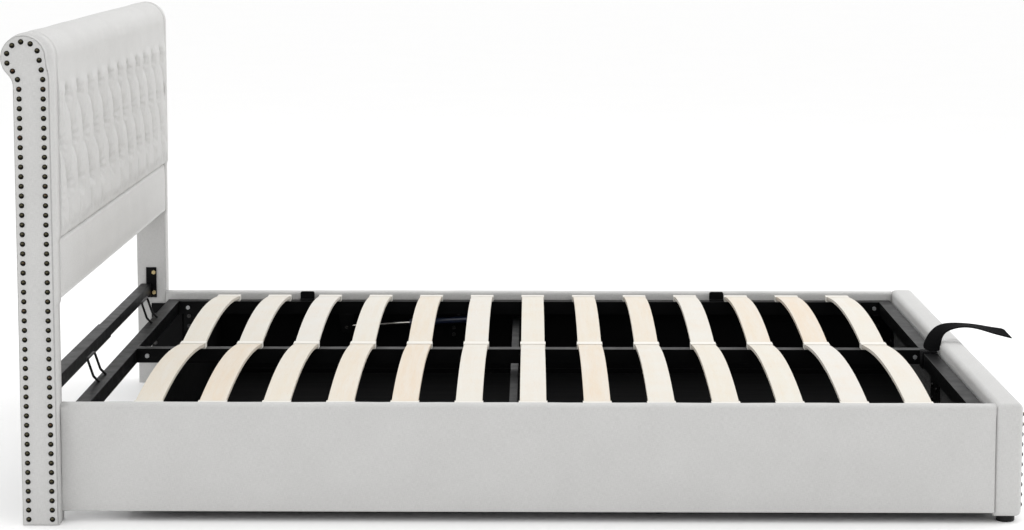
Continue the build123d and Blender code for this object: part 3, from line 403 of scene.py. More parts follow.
def makePine(look):
    material, tree = startMaterial("planedSoftwood", 0.3)
    grain = putGroup(tree, timberGrain, {"Stretch": look["stretch"]})
    return finishMaterial(
        material, mixColours(remap(grain["Streak"], 0.3, 0.7), look["pale"], look["dark"]),
        remap(grain["Pores"], 0.0, 1.0, 0.6, 0.8), addBump(grain["Streak"], 0.4, 0.0006))


boardLook = {
    "black": (0.0040, 0.0040, 0.0044, 1.0),
    "worn": (0.016, 0.015, 0.014, 1.0),
    "dust": (0.045, 0.043, 0.040, 1.0),
    "stretch": (6.0, 160.0, 160.0),
    "dustAmount": 0.08,
}


def makeBlackBoard(look):
    material, tree = startMaterial("blackLaminate", 0.06)
    grain = putGroup(tree, timberGrain, {"Stretch": look["stretch"]})
    dust = putGroup(tree, dustFilm, {"Amount": look["dustAmount"], "Speck": 420.0})
    edge = wearEdges(tree, 0.0015, 70.0)
    dark = mixColours(times(edge["Mask"], 0.5), look["black"], look["worn"])
    return finishMaterial(
        material, mixColours(dust["Mask"], dark, look["dust"]), remap(grain["Streak"], 0.3, 0.7, 0.82, 0.70),
        addBump(grain["Streak"], 0.1, 0.0001, edge["Normal"]))


steelLook = {
    "paint": (0.0030, 0.0031, 0.0034, 1.0),
    "rubbed": (0.035, 0.035, 0.037, 1.0),
    "dust": (0.10, 0.098, 0.095, 1.0),
    "dustAmount": 0.10,
    "orangePeel": 0.00008,
}


def makePaintedSteel(look):
    material, tree = startMaterial("powderCoatedSteel", 0.09)
    place = coordsOf(tree)["Object"]
    edge = wearEdges(tree, 0.0016, 80.0)
    dust = putGroup(tree, dustFilm, {"Amount": look["dustAmount"], "Speck": 600.0})
    rubbed = mixColours(times(edge["Mask"], 0.55), look["paint"], look["rubbed"])
    return finishMaterial(
        material, mixColours(dust["Mask"], rubbed, look["dust"]),
        remap(noiseValue(place, 25.0, 3.0), 0.3, 0.7, 0.44, 0.34),
        addBump(noiseValue(place, 700.0, 2.0), 0.3, look["orangePeel"], edge["Normal"]))


zincLook = {
    "silver": (0.62, 0.63, 0.64, 1.0),
    "yellow": (0.66, 0.52, 0.26, 1.0),
    "bloom": (0.3, 0.29, 0.27, 1.0),
    "nearBlack": (0.030, 0.030, 0.032, 1.0),
    "yellowAbove": 0.236,
    "blackBelow": 0.212,
    "change": 0.004,
}


def makeZinc(look):
    material, tree = startMaterial("zincPlatedBolt", fixed={"Metallic": 0.9})
    place = coordsOf(tree)["Object"]
    height = splitUp(place)["Z"]
    bloom = noiseValue(place, 260.0, 3.0, 0.6)
    edge = wearEdges(tree, 0.0008, 200.0)
    # by height: yellow at the crossbar, silver under it and near black below that
    passivated = remap(height, look["yellowAbove"], look["yellowAbove"] + look["change"])
    dark = remap(height, look["blackBelow"], look["blackBelow"] + look["change"], 1.0, 0.0)
    plated = mixColours(passivated, look["silver"], look["yellow"])
    plated = mixColours(dark, plated, look["nearBlack"])
    return finishMaterial(
        material, mixColours(remap(bloom, 0.4, 0.8, 0.0, 0.4), plated, look["bloom"]),
        remap(bloom, 0.3, 0.7, 0.28, 0.45), addBump(bloom, 0.3, 0.0002, edge["Normal"]))


plasticLook = {
    "white": (0.76, 0.735, 0.68, 1.0),
    "whiteShade": (0.66, 0.64, 0.59, 1.0),
    "black": (0.0040, 0.0040, 0.0043, 1.0),
    "blackScuff": (0.03, 0.03, 0.03, 1.0),
}


def makePlastic(name, body, scuffed):
    material, tree = startMaterial(name, 0.25)
    edge = wearEdges(tree, 0.0009, 120.0)
    dust = putGroup(tree, dustFilm, {"Amount": 0.12, "Speck": 700.0})
    scuffs = plus(times(edge["Mask"], 0.5), dust["Mask"], clamp=True)
    grain = noiseValue(coordsOf(tree)["Object"], 1100.0, 2.0)
    return finishMaterial(
        material, mixColours(scuffs, body, scuffed), remap(grain, 0.3, 0.7, 0.46, 0.58),
        addBump(grain, 0.3, 0.0001, edge["Normal"]))


webbingLook = {
    "black": (0.003, 0.003, 0.0033, 1.0),
    "lit": (0.011, 0.011, 0.012, 1.0),
    "pick": 0.0016,
    "ribs": 14.0,
    "depth": 0.0004,
}


def makeWebbing(look):
    material, tree = startMaterial("blackWebbing", 0.05, {"Sheen Weight": 0.01})
    coords = coordsOf(tree)
    flat = splitUp(coords["UV"])
    ribTurn = times(flat["Y"], look["ribs"] * 2 * pi)
    pickTurn = times(divide(flat["X"], look["pick"]), 2 * pi)
    ribs = absolute(sine(times(ribTurn, 0.5)))
    half = isAbove(sine(times(ribTurn, 0.25)), 0.0)
    weave = between(half, sine(plus(pickTurn, ribTurn)), sine(minus(pickTurn, ribTurn)))
    height = plus(times(ribs, 0.5), times(weave, 0.35))
    fuzz = noiseValue(coords["Object"], 350.0, 3.0, 0.7)
    tone = times(remap(height, -0.3, 0.85), remap(fuzz, 0.3, 0.7, 0.5, 1.0))
    return finishMaterial(
        material, mixColours(tone, look["black"], look["lit"]), remap(height, -0.3, 0.85, 0.9, 0.7),
        addBump(height, 0.7, look["depth"]))


springLook = {
    "paint": (0.012, 0.020, 0.050, 1.0),
    "smear": (0.03, 0.035, 0.05, 1.0),
}


def makeSpringPaint(look):
    material, tree = startMaterial("springCylinderPaint", fixed={"Coat Weight": 0.35, "Coat Roughness": 0.15})
    place = coordsOf(tree)["Object"]
    edge = wearEdges(tree, 0.0008, 150.0)
    smears = remap(noiseValue(place, 40.0, 4.0, 0.6), 0.45, 0.75)
    worn = mixColours(doMath("MAXIMUM", smears, edge["Mask"]), look["paint"], look["smear"])
    return finishMaterial(
        material, worn, remap(smears, 0.0, 1.0, 0.28, 0.42),
        addBump(noiseValue(place, 500.0, 2.0), 0.3, 0.0001, edge["Normal"]))


rodLook = {
    "steel": (0.70, 0.69, 0.66, 1.0),
    "oil": (0.38, 0.33, 0.24, 1.0),
    "rings": (2200.0, 60.0, 60.0),
}


def makePolishedRod(look):
    material, tree = startMaterial("polishedRod", fixed={"Metallic": 1.0})
    place = coordsOf(tree)["Object"]
    rings = noiseValue(drawnOut(place, look["rings"]), 1.0, 2.0)
    oil = remap(noiseValue(place, 60.0, 3.0, 0.6), 0.45, 0.75, 0.0, 0.5)
    return finishMaterial(
        material, mixColours(oil, look["steel"], look["oil"]), remap(rings, 0.3, 0.7, 0.12, 0.26),
        addBump(rings, 0.15, 0.00005))


finishes = {
    "white_linen": makeLinen(linenLook),
    "bronze_nail": makeBronze(bronzeLook),
    "softwood": makePine(pineLook),
    "black_board": makeBlackBoard(boardLook),
    "black_steel": makePaintedSteel(steelLook),
    "zinc_plate": makeZinc(zincLook),
    "birch": makeBirch(birchLook),
    "white_plastic": makePlastic("creamCapPlastic", plasticLook["white"], plasticLook["whiteShade"]),
    "black_plastic": makePlastic("blackMouldedPlastic", plasticLook["black"], plasticLook["blackScuff"]),
    "black_webbing": makeWebbing(webbingLook),
    "cylinder_paint": makeSpringPaint(springLook),
    "polished_rod": makePolishedRod(rodLook),
}


def paintCadNodes():
    for part in frame["record"]["subparts"]:
        node = frame["nodes"][part["node"]]
        if not node.material_slots:
            node.data.materials.append(None)
        for holder in node.material_slots:
            holder.material = finishes[part["material_slot"]]


paintCadNodes()
print("materials made")


# Small helpers for meshes
def addMesh(name, shape):
    mesh = bpy.data.meshes.new(name)
    shape.to_mesh(mesh)
    shape.free()
    return addObject(name, mesh)


def finishPiece(name, shape, slotName, body, cadNode):
    piece = addMesh(name, shape)
    piece.data.materials.append(finishes[slotName])
    piece.data.shade_smooth()
    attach(piece, body)
    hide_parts(cadNode)
    return piece


def finishPadding(name, shape, cadNode):
    finishPiece(name, shape, "white_linen", "base", cadNode)


def finishPair(name, makeShape, cadNode, values):
    # the far side's piece as it is made, the near side's as its mirror image
    for sideName in ("Far", "Near"):
        shape = makeShape(values)
        if sideName == "Near":
            bmesh.ops.scale(shape, vec=(1, -1, 1), verts=shape.verts)
            bmesh.ops.reverse_faces(shape, faces=shape.faces)
        finishPadding(name + sideName, shape, cadNode + sideName.lower())


def boxBetween(low, high):
    shape = bmesh.new()
    bmesh.ops.create_cube(shape, size=1.0)
    low, high = Vector(low), Vector(high)
    bmesh.ops.scale(shape, vec=high - low, verts=shape.verts)
    bmesh.ops.translate(shape, vec=(low + high) / 2, verts=shape.verts)
    return shape


def cutAcross(shape, axis, value):
    facing = Vector()
    facing[axis] = 1
    everything = shape.verts[:] + shape.edges[:] + shape.faces[:]
    bmesh.ops.bisect_plane(shape, geom=everything, dist=1e-6, plane_co=facing * value, plane_no=facing)


def cutEvenly(shape, axes, low, high, step):
    for axis in axes:
        count = ceil((high[axis] - low[axis]) / step)
        for index in range(1, count):
            cutAcross(shape, axis, low[axis] + (high[axis] - low[axis]) * index / count)


def facesAt(shape, axis, sign, value):
    return [face for face in shape.faces
            if face.normal[axis] * sign > 0.9 and abs(face.calc_center_median()[axis] - value) < 1e-4]


def edgesAlong(shape, axis, *spots):
    # straight edges along an axis that lie on one of the given lines, as {other axis: value}
    found = []
    for edge in shape.edges:
        run = edge.verts[1].co - edge.verts[0].co
        if abs(run[axis]) < 0.99 * run.length:
            continue
        if any(all(abs(edge.verts[0].co[other] - value) < 1e-4 for other, value in spot.items()) for spot in spots):
            found.append(edge)
    return found


def roundEdges(shape, edges, radius, segments):
    bmesh.ops.bevel(shape, geom=edges, offset=radius, segments=segments, profile=0.5, affect="EDGES", material=-1)


def pushFaces(shape, faces, move, keepStart=False):
    made = bmesh.ops.extrude_face_region(shape, geom=faces)["geom"]
    bmesh.ops.translate(shape, vec=move, verts=[item for item in made if isinstance(item, bmesh.types.BMVert)])
    if not keepStart:
        bmesh.ops.delete(shape, geom=faces, context="FACES_ONLY")


def spinFrom(shape, vert, centre, turn, steps):
    # a run of edges from a vertex round a centre, from +X towards +Z where the turn is positive
    axis = (0, -1 if turn > 0 else 1, 0)
    made = bmesh.ops.spin(shape, geom=[vert], cent=centre, axis=axis, angle=abs(turn), steps=steps, use_merge=False)
    return [item for item in made["geom_last"] if isinstance(item, bmesh.types.BMVert)][0]


def drawThrough(shape, vert, places):
    for place in places:
        vert = bmesh.ops.extrude_vert_indiv(shape, verts=[vert])["verts"][0]
        vert.co = place
    return vert


def smoothStep(value, start=0.0, run=1.0):
    share = min(max((value - start) / run, 0.0), 1.0)
    return share * share * (3 - 2 * share)


def bell(value, middle, spread):
    return exp(-((value - middle) / spread) ** 2)


def ripple(place, *waves):
    # waves are given as (size, height)
    return sum(noise.noise(place / size) * height for size, height in waves)


def inFrom(place, low, high, axis):
    # how far in a place lies from the nearer end along an axis
    return min(place[axis] - low[axis], high[axis] - place[axis])


def sideOn(place):
    return Vector((place.x, 0, place.z))


def nearestOf(places):
    tree = kdtree.KDTree(len(places))
    for index, place in enumerate(places):
        tree.insert(place, index)
    tree.balance()
    return tree.find


# Side rails: board wrapped in thin foam and linen, with a lip down the inside
railPadding = {
    "foam": 0.006,
    "lipDepth": 0.035,
    "topRounding": 0.009,
    "bottomRounding": 0.003,
    "endRounding": 0.004,
    "crown": 0.0022,
    "crownPower": 0.7,  # under 1 for a fuller swell
    "endFade": 0.05,
    "sideRipples": ((0.11, 0.0010), (0.035, 0.0004)),
    "topRipples": ((0.09, 0.0010), (0.03, 0.0003)),
    "step": 0.022,
    "fill": 0.95,
}


def makeRail(rail):
    low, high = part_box("rail_cover_far")
    foam = rail["foam"]
    inner = low.y + foam
    lipLow = high.z - rail["lipDepth"]
    shape = boxBetween((low.x, inner, low.z), high)
    cutAcross(shape, 2, lipLow)
    innerFaces = facesAt(shape, 1, -1, inner)
    lower = [face for face in innerFaces if face.calc_center_median().z < lipLow]
    upper = [face for face in innerFaces if face.calc_center_median().z > lipLow]
    bmesh.ops.inset_region(shape, faces=lower, thickness=foam, depth=0.0, use_boundary=True, use_even_offset=True)
    pushFaces(shape, lower, (0, high.y - foam - inner, 0))
    pushFaces(shape, upper, (0, -foam, 0))
    shape.normal_update()
    ceiling = [face for face in facesAt(shape, 2, -1, lipLow - foam)
               if inner < face.calc_center_median().y < high.y - foam]
    pushFaces(shape, ceiling, (0, 0, high.z - foam - (lipLow - foam)))
    roundEdges(shape, edgesAlong(shape, 0, {1: high.y, 2: high.z}, {1: low.y, 2: high.z}), rail["topRounding"], 5)
    roundEdges(shape, edgesAlong(shape, 0, {1: high.y, 2: low.z}), rail["bottomRounding"], 3)
    roundEdges(shape, edgesAlong(shape, 2, {0: low.x, 1: high.y}, {0: high.x, 1: high.y}), rail["endRounding"], 3)
    cutEvenly(shape, (0, 2), low, high, rail["step"])
    for vert in shape.verts:
        place = vert.co
        if place.y > high.y - foam * 0.9:
            upShare = min(max((place.z - low.z) / (high.z - low.z), 0.0), 1.0)
            swell = rail["crown"] + ripple(place, *rail["sideRipples"])
            endFade = smoothStep(inFrom(place, low, high, 0) / rail["endFade"])
            place.y += sin(pi * upShare) ** rail["crownPower"] * endFade * swell
        if place.z > high.z - rail["topRounding"] * 1.2 and place.y > low.y + 0.001:
            place.z += ripple(place, *rail["topRipples"])
    return shape


finishPair("railUpholstery", makeRail, "rail_cover_", railPadding)
print("rails covered")


# Footboard: two padded halves that meet in a soft groove at the middle
footPadding = {
    "rounding": 0.012,
    "grooveRounding": 0.011,
    "crown": 0.0035,
    "topShare": 0.4,
    "endShare": 0.3,
    "fades": (0.02, 0.03, 0.05),  # how far in from its ends along X, Y and Z the crown is full
    "ripples": ((0.10, 0.0012), (0.035, 0.0005)),
    "nailStart": 0.004,
    "nailReach": 0.030,
    "step": 0.013,
    "fill": 0.9,
}


def makeFootboard(foot):
    low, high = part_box("footboard_cover_far")
    rounding = foot["rounding"]
    shape = boxBetween(low, high)
    edges = edgesAlong(shape, 1, {0: low.x, 2: high.z}, {0: high.x, 2: high.z})
    edges += edgesAlong(shape, 2, {0: low.x, 1: high.y}, {0: high.x, 1: high.y})
    edges += edgesAlong(shape, 0, {1: high.y, 2: high.z})
    edges += edgesAlong(shape, 1, {0: high.x, 2: low.z}) + edgesAlong(shape, 0, {1: high.y, 2: low.z})
    roundEdges(shape, edges, rounding, 6)
    roundEdges(shape, edgesAlong(shape, 2, {0: high.x, 1: low.y}) + edgesAlong(shape, 0, {1: low.y, 2: high.z}),
               foot["grooveRounding"], 5)
    cutEvenly(shape, range(3), low, high, foot["step"])
    for vert in shape.verts:
        place = vert.co
        inX, inY, inZ = [smoothStep(inFrom(place, low, high, axis) / foot["fades"][axis]) for axis in range(3)]
        calm = smoothStep(high.y - place.y, foot["nailStart"], foot["nailReach"])
        swell = foot["crown"] + ripple(place, *foot["ripples"])
        if place.x > high.x - rounding:
            place.x += swell * inZ * inY * calm
        if place.z > high.z - rounding:
            place.z += foot["topShare"] * swell * inY * inX
        if place.y > high.y - rounding * 0.5:
            place.y += foot["endShare"] * swell * inZ * inX
    return shape


finishPair("footboardUpholstery", makeFootboard, "footboard_cover_", footPadding)
print("footboard covered")


# Headboard posts: straight leg with a scroll rolled backwards at the top
postPadding = {
    "scrollRadius": 0.0495,
    "hollowRadius": 0.036,
    "depth": 0.080,
    "shoulderHeight": 0.984,
    "scrollHeight": 1.029,
    "edgeRounding": 0.0045,
    "puff": 0.0016,
    "nailEdge": 0.0058,
    "nailPull": 0.0085,
    "rimFade": (0.004, 0.006),  # where it starts and how long it runs, as in the next fades
    "panelCrown": 0.0022,
    "panelFade": (0.022, 0.018),
    "drape": (0.05, 0.0006),
    "drapeFade": (0.02, 0.02),
    "seamDepth": 0.0042,
    "flareStart": 0.009,
    "flareRun": 0.012,
    "flareCuts": (0.0, 0.3, 0.65, 1.0),
    "bandLead": 0.012,
    "padLead": 0.004,
    "step": 0.0042,
    "fill": 0.95,
}


def nailSpots():
    # the crown of each nail on the far post, seen side on, read from the CAD nails
    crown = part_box("upholstery_nails")[1].y
    return {(round(vert.co.x, 3), round(vert.co.z, 3)): sideOn(vert.co)
            for vert in frame["nodes"]["upholstery_nails"].data.vertices if abs(vert.co.y - crown) < 2e-5}


def stepToPad(place, normal, padBoxes, post):
    # how far the post's skin stands out to lie flush with the roll and the pads beside it
    (padLow, padHigh), (bandLow, bandHigh) = padBoxes
    radius = (padHigh.x - padLow.x) / 2
    centre = Vector((padHigh.x - radius, 0, padHigh.z - radius))
    lead = post["bandLead"]
    if place.z > centre.z:
        away = sideOn(place - centre)
        if normal.dot(away.normalized()) < 0.5:
            return Vector()
        return away.normalized() * (radius - away.length)
    if normal.x < 0.5 or place.z < bandLow.z - lead:
        return Vector()
    front = bandHigh.x + (padHigh.x - bandHigh.x) * smoothStep(place.z, padLow.z - post["padLead"], lead)
    return Vector((front - place.x, 0, 0)) * smoothStep(place.z, bandLow.z - lead, lead)


def makePost(post):
    low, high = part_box("post_cover_far")
    padBoxes = (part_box("headboard_tufted_pad"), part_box("headboard_lower_pad"))
    radius, hollow, rounding = post["scrollRadius"], post["hollowRadius"], post["edgeRounding"]
    centre = Vector((low.x + radius, low.y, post["scrollHeight"]))
    front = high.x
    back = front - post["depth"]
    hollowX = back - hollow
    hollowZ = centre.z - ((radius + hollow) ** 2 - (hollowX - centre.x) ** 2) ** 0.5
    turn = atan2(centre.z - hollowZ, centre.x - hollowX)
    shape = bmesh.new()
    start = shape.verts.new(centre + Vector((radius, 0, 0)))
    tip = spinFrom(shape, start, centre, pi + turn, 48)
    tip = spinFrom(shape, tip, (hollowX, low.y, hollowZ), -turn, 10)
    shoulder = post["shoulderHeight"]
    route = [Vector((back, low.y, 0)), Vector((front, low.y, 0)), Vector((front, low.y, shoulder))]
    for index in range(1, 9):
        share = index / 9
        route.append(Vector((front + (start.co.x - front) * smoothStep(share), low.y,
                             shoulder + (centre.z - shoulder) * share)))
    drawThrough(shape, tip, route + [start.co.copy()])
    bmesh.ops.remove_doubles(shape, verts=shape.verts, dist=1e-5)
    bmesh.ops.contextual_create(shape, geom=shape.edges[:])
    bmesh.ops.recalc_face_normals(shape, faces=shape.faces)
    pushFaces(shape, shape.faces[:], (0, high.y - low.y, 0), keepStart=True)
    bmesh.ops.recalc_face_normals(shape, faces=shape.faces)
    rim = [edge for edge in shape.edges if all(abs(vert.co.y - high.y) < 1e-5 for vert in edge.verts)]
    roundEdges(shape, rim, rounding, 4)
    cutEvenly(shape, (2, 0), low, high, post["step"])
    for share in post["flareCuts"]:
        cutAcross(shape, 1, high.y - post["flareStart"] - post["flareRun"] * share)
    shape.normal_update()
    nearestNail = nearestOf(nailSpots().values())
    nearestRim = nearestOf([sideOn(vert.co) for vert in shape.verts
                            if rounding * 0.9 < high.y - vert.co.y < rounding * 1.1])
    # the sewn seam runs along the middle of the rounded rim
    seam = high.y - rounding * (1 - 0.5 ** 0.5)
    moves = {}
    for vert in shape.verts:
        if abs(vert.co.y - seam) < 5e-5 and vert.co.z > 0.003:
            moves[vert] = -vert.normal * post["seamDepth"]
        flare = smoothStep(high.y - vert.co.y, post["flareStart"], post["flareRun"])
        if flare > 0:
            moves[vert] = stepToPad(vert.co, vert.normal, padBoxes, post) * flare
        if vert.co.y < high.y - 1e-4:
            continue
        flat = sideOn(vert.co)
        rimGap = nearestRim(flat)[2]
        puff = post["puff"] * smoothStep(nearestNail(flat)[2], post["nailEdge"], post["nailPull"])
        panel = post["panelCrown"] * smoothStep(rimGap, *post["panelFade"])
        drape = ripple(flat, post["drape"]) * smoothStep(rimGap, *post["drapeFade"])
        moves[vert] = Vector((0, puff * smoothStep(rimGap, *post["rimFade"]) + panel + drape, 0))
    for vert, move in moves.items():
        vert.co += move
    return shape


finishPair("postUpholstery", makePost, "post_cover_", postPadding)
print("posts covered")


# Headboard: deep tufts under a plain roll, a plain band below the seam
tufting = {
    "pitch": 0.138,
    "rowPitch": 0.102,
    "topRow": 0.938,
    "rows": 3,
    "columns": 11,
    "tuftDepth": 0.0140,
    "tuftEdge": 0.0085,
    "tuftReach": 0.021,
    "pleatDepth": 0.0052,
    "pleatReach": 0.0085,
    "pleatPower": 1.15,
    "pleatSpan": 0.12,  # pleats whose middle is further off are passed over
    "risingPleat": 0.021,
    "lastPleats": 0.75,  # how much of their depth the pleats to the seam have left there
    "pillow": 0.0022,
    "pillowFade": 0.045,
    "gather": 0.0010,
    "gatherFolds": 11,
    "gatherRing": (0.020, 0.012),
    "puckers": (0.017, 0.0007),
    "ripples": (0.06, 0.0010),
    "rollRipples": (0.09, 0.0016),
    "rounding": 0.010,
    "skinDepth": 0.012,
    "rollStart": 0.01,
    "backReach": 0.03,
    "coreGap": 0.004,
    "endFade": 0.03,
    "seamFade": 0.03,
    "topFade": (0.02, 0.06),
    "step": 0.0048,
    # the blown-up cloth
    "pressure": 4.0,
    "slack": 0.022,
    "frames": 16,
    "mostTravel": 0.0050,
    "looseDepth": 0.03,
    "heldSeam": 0.012,
    "heldTuft": 0.0105,
    "settledTop": 0.985,
    "settledFade": 0.034,
    "fill": 0.85,
}


def tuftRows(pad):
    rows = []
    for row in range(pad["rows"]):
        count = pad["columns"] + row % 2
        height = pad["topRow"] - row * pad["rowPitch"]
        rows.append([Vector((0, (index - (count - 1) / 2) * pad["pitch"], height)) for index in range(count)])
    return rows


def pleatLines(pad, seamHeight):
    # each pleat from a tuft to another place, and the share of its depth that it has left there
    rows = tuftRows(pad)
    lines = []
    for upper, lower in zip(rows, rows[1:]):
        for first in upper:
            for second in lower:
                if abs(abs(first.y - second.y) - pad["pitch"] / 2) < 1e-4:
                    lines.append((first, second, 1.0))
    for tuft in rows[0]:
        lines.append((tuft, tuft + Vector((0, 0, pad["risingPleat"])), 0.0))
    for tuft in rows[-1]:
        lines.append((tuft, Vector((0, tuft.y, seamHeight)), pad["lastPleats"]))
    return lines


def gapToLine(place, first, second):
    run = second - first
    share = min(max((place - first).dot(run) / run.length_squared, 0.0), 1.0)
    return (place - first - run * share).length, share


def drawPad(low, high, centre, coreRadius, pad):
    # the pad seen from the side, round the roll's core and over the panel, and then drawn along the bed's width
    panelLow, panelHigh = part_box("headboard_frame")
    radius = (high.x - low.x) / 2
    shape = bmesh.new()
    start = shape.verts.new((high.x, low.y, centre.z))
    reach = panelLow.x - centre.x
    turn = pi + Vector((-1, 0)).angle(Vector((reach, -(radius ** 2 - reach ** 2) ** 0.5)))
    tip = spinFrom(shape, start, centre, turn, 44)
    coreDrop = centre.z - panelHigh.z
    coreReach = (coreRadius ** 2 - coreDrop ** 2) ** 0.5
    tip = drawThrough(shape, tip, [Vector((centre.x - coreReach, low.y, panelHigh.z))])
    tip = spinFrom(shape, tip, centre, 2 * Vector((0, -1)).angle(Vector((coreReach, -coreDrop))) - 2 * pi, 20)
    rounding = pad["rounding"]
    cornerX, cornerZ = high.x - rounding, low.z + rounding
    route = [Vector((panelHigh.x, low.y, low.z)), Vector((cornerX, low.y, low.z))]
    for index in range(1, 5):
        angle = pi / 2 * index / 4
        route.append(Vector((cornerX + rounding * sin(angle), low.y, cornerZ - rounding * cos(angle))))
    faceHeight = centre.z - cornerZ
    count = ceil(faceHeight / pad["step"])
    route += [Vector((high.x, low.y, cornerZ + faceHeight * index / count)) for index in range(1, count + 1)]
    drawThrough(shape, tip, route)
    bmesh.ops.remove_doubles(shape, verts=shape.verts, dist=1e-5)
    count = ceil((high.y - low.y) / pad["step"])
    bmesh.ops.spin(
        shape, geom=shape.verts[:] + shape.edges[:], cent=centre, axis=(0, 1, 0), angle=0.0,
        dvec=(0, (high.y - low.y) / count, 0), steps=count, use_merge=False)
    bmesh.ops.holes_fill(shape, edges=[edge for edge in shape.edges if edge.is_boundary])
    bmesh.ops.recalc_face_normals(shape, faces=shape.faces)
    return shape


def settleSkin(shape, looseShare, isHeld, pad):
    # the skin alone is blown up as cloth, and its moves are put back on the pad
    ranks = shape.verts.layers.int.new("rank")
    for index, vert in enumerate(shape.verts):
        vert[ranks] = index
    skin = shape.copy()
    fixed = [face for face in skin.faces if min(looseShare(vert.co) for vert in face.verts) <= 0]
    bmesh.ops.delete(skin, geom=fixed, context="FACES")
    ranks = skin.verts.layers.int["rank"]
    # operators leave edges and faces in an order that changes from run to run, and the cloth would change with it
    for parts in (skin.edges, skin.faces):
        parts.sort(key=lambda part: min(vert[ranks] for vert in part.verts) * len(shape.verts)
                   + max(vert[ranks] for vert in part.verts))
    order = [vert[ranks] for vert in skin.verts]
    held = [index for index, vert in enumerate(skin.verts) if vert.is_boundary or isHeld(vert.co)]
    sheet = addMesh("padSkin", skin)
    sheet.vertex_groups.new(name="held").add(held, 1.0, "REPLACE")
    cloth = sheet.modifiers.new("blownUp", "CLOTH")
    settings = cloth.settings
    settings.vertex_group_mass = "held"
    settings.use_pressure = True
    settings.uniform_pressure_force = pad["pressure"]
    settings.shrink_min = -pad["slack"]
    settings.effector_weights.gravity = 0.0
    cloth.point_cache.frame_start = 1
    cloth.point_cache.frame_end = pad["frames"]
    for moment in range(1, pad["frames"] + 1):
        scene.frame_set(moment)
    settled = sheet.evaluated_get(bpy.context.evaluated_depsgraph_get()).to_mesh()
    shape.verts.ensure_lookup_table()
    for index, after in zip(order, settled.vertices):
        vert = shape.verts[index]
        move = after.co - vert.co
        vert.co += move * min(1.0, pad["mostTravel"] / max(move.length, 1e-9)) * looseShare(vert.co)
    scene.frame_set(1)
    bpy.data.meshes.remove(sheet.data)
    shape.verts.layers.int.remove(shape.verts.layers.int["rank"])


def makeTuftedPad(pad):
    low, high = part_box("headboard_tufted_pad")
    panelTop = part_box("headboard_frame")[1].z
    radius = (high.x - low.x) / 2
    centre = Vector((high.x - radius, low.y, high.z - radius))
    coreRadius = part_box("headboard_roll_core")[1].z - centre.z
    shape = drawPad(low, high, centre, coreRadius, pad)
    nearestTuft = nearestOf([tuft for row in tuftRows(pad) for tuft in row])
    lines = pleatLines(pad, low.z)
    topEdge, topRun = pad["topFade"]
    for vert in shape.verts:
        place = vert.co
        if place.x < high.x - pad["skinDepth"] or place.z > centre.z + pad["rollStart"]:
            # the roll and the hidden inner walls: only the roll's skin is shaped
            away = sideOn(place - centre)
            if place.z > panelTop - pad["backReach"] and away.length > coreRadius + pad["coreGap"]:
                skin = ripple(Vector((place.x, place.y * 0.6, place.z)), pad["rollRipples"])
                place += away.normalized() * skin * smoothStep(inFrom(place, low, high, 1) / pad["endFade"])
            continue
        flat = Vector((0, place.y, place.z))
        deepest = 0.0
        pleatGap = 1.0
        for first, second, fullness in lines:
            if abs(place.y - (first.y + second.y) / 2) > pad["pleatSpan"]:
                continue
            gap, share = gapToLine(flat, first, second)
            weight = 1.0 if fullness == 1.0 else 1 - (1 - fullness) * smoothStep(share)
            fall = exp(-(gap / pad["pleatReach"]) ** pad["pleatPower"])
            deepest = max(deepest, pad["pleatDepth"] * weight * fall)
            pleatGap = min(pleatGap, gap)
        tuft, index, tuftGap = nearestTuft(flat)
        tuftShare = 1 - smoothStep(tuftGap, pad["tuftEdge"], pad["tuftReach"])
        side = Vector((place.y - tuft.y, place.z - tuft.z))
        turnAngle = side.angle_signed(Vector((1, 0)), 0.0) if side.length > 1e-6 else 0.0
        folds = sin(turnAngle * pad["gatherFolds"] + index * 1.7)
        gather = pad["gather"] * folds * bell(tuftGap, *pad["gatherRing"])
        inTufts = smoothStep(place.z, low.z, pad["seamFade"])
        inTufts *= smoothStep(centre.z - place.z, topEdge, topRun)
        pillow = pad["pillow"] * smoothStep(pleatGap / pad["pillowFade"]) * inTufts
        press = deepest * (1 - tuftShare) + max(pad["tuftDepth"], deepest) * tuftShare
        puckers = ripple(Vector((0, place.y, place.z * 0.35)), pad["puckers"])
        place.x += pillow - press + gather + (puckers + ripple(place, pad["ripples"])) * inTufts

    def looseShare(place):
        if place.x < high.x - pad["looseDepth"] or place.z < low.z + pad["heldSeam"]:
            return 0.0
        return smoothStep((pad["settledTop"] - place.z) / pad["settledFade"])

    def isHeld(place):
        return nearestTuft(Vector((0, place.y, place.z)))[2] < pad["heldTuft"]

    settleSkin(shape, looseShare, isHeld, pad)
    print("tufts settled")
    finishPadding("headboardTufting", shape, "headboard_tufted_pad")


makeTuftedPad(tufting)
print("headboard tufted")

buttonCover = {"diameter": 0.020, "fill": 1.0}


def makeButtons(button):
    low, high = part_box("tuft_buttons")
    shape = bmesh.new()
    size = Vector((high.x - low.x, button["diameter"], button["diameter"]))
    for row in tuftRows(tufting):
        for tuft in row:
            made = bmesh.ops.create_uvsphere(shape, u_segments=16, v_segments=8, radius=0.5)["verts"]
            bmesh.ops.rotate(shape, verts=made, cent=(0, 0, 0), matrix=Matrix.Rotation(pi / 2, 3, "Y"))
            bmesh.ops.scale(shape, verts=made, vec=size)
            bmesh.ops.translate(shape, verts=made, vec=((low.x + high.x) / 2, tuft.y, tuft.z))
    finishPadding("headboardButtons", shape, "tuft_buttons")


makeButtons(buttonCover)
print("buttons covered")

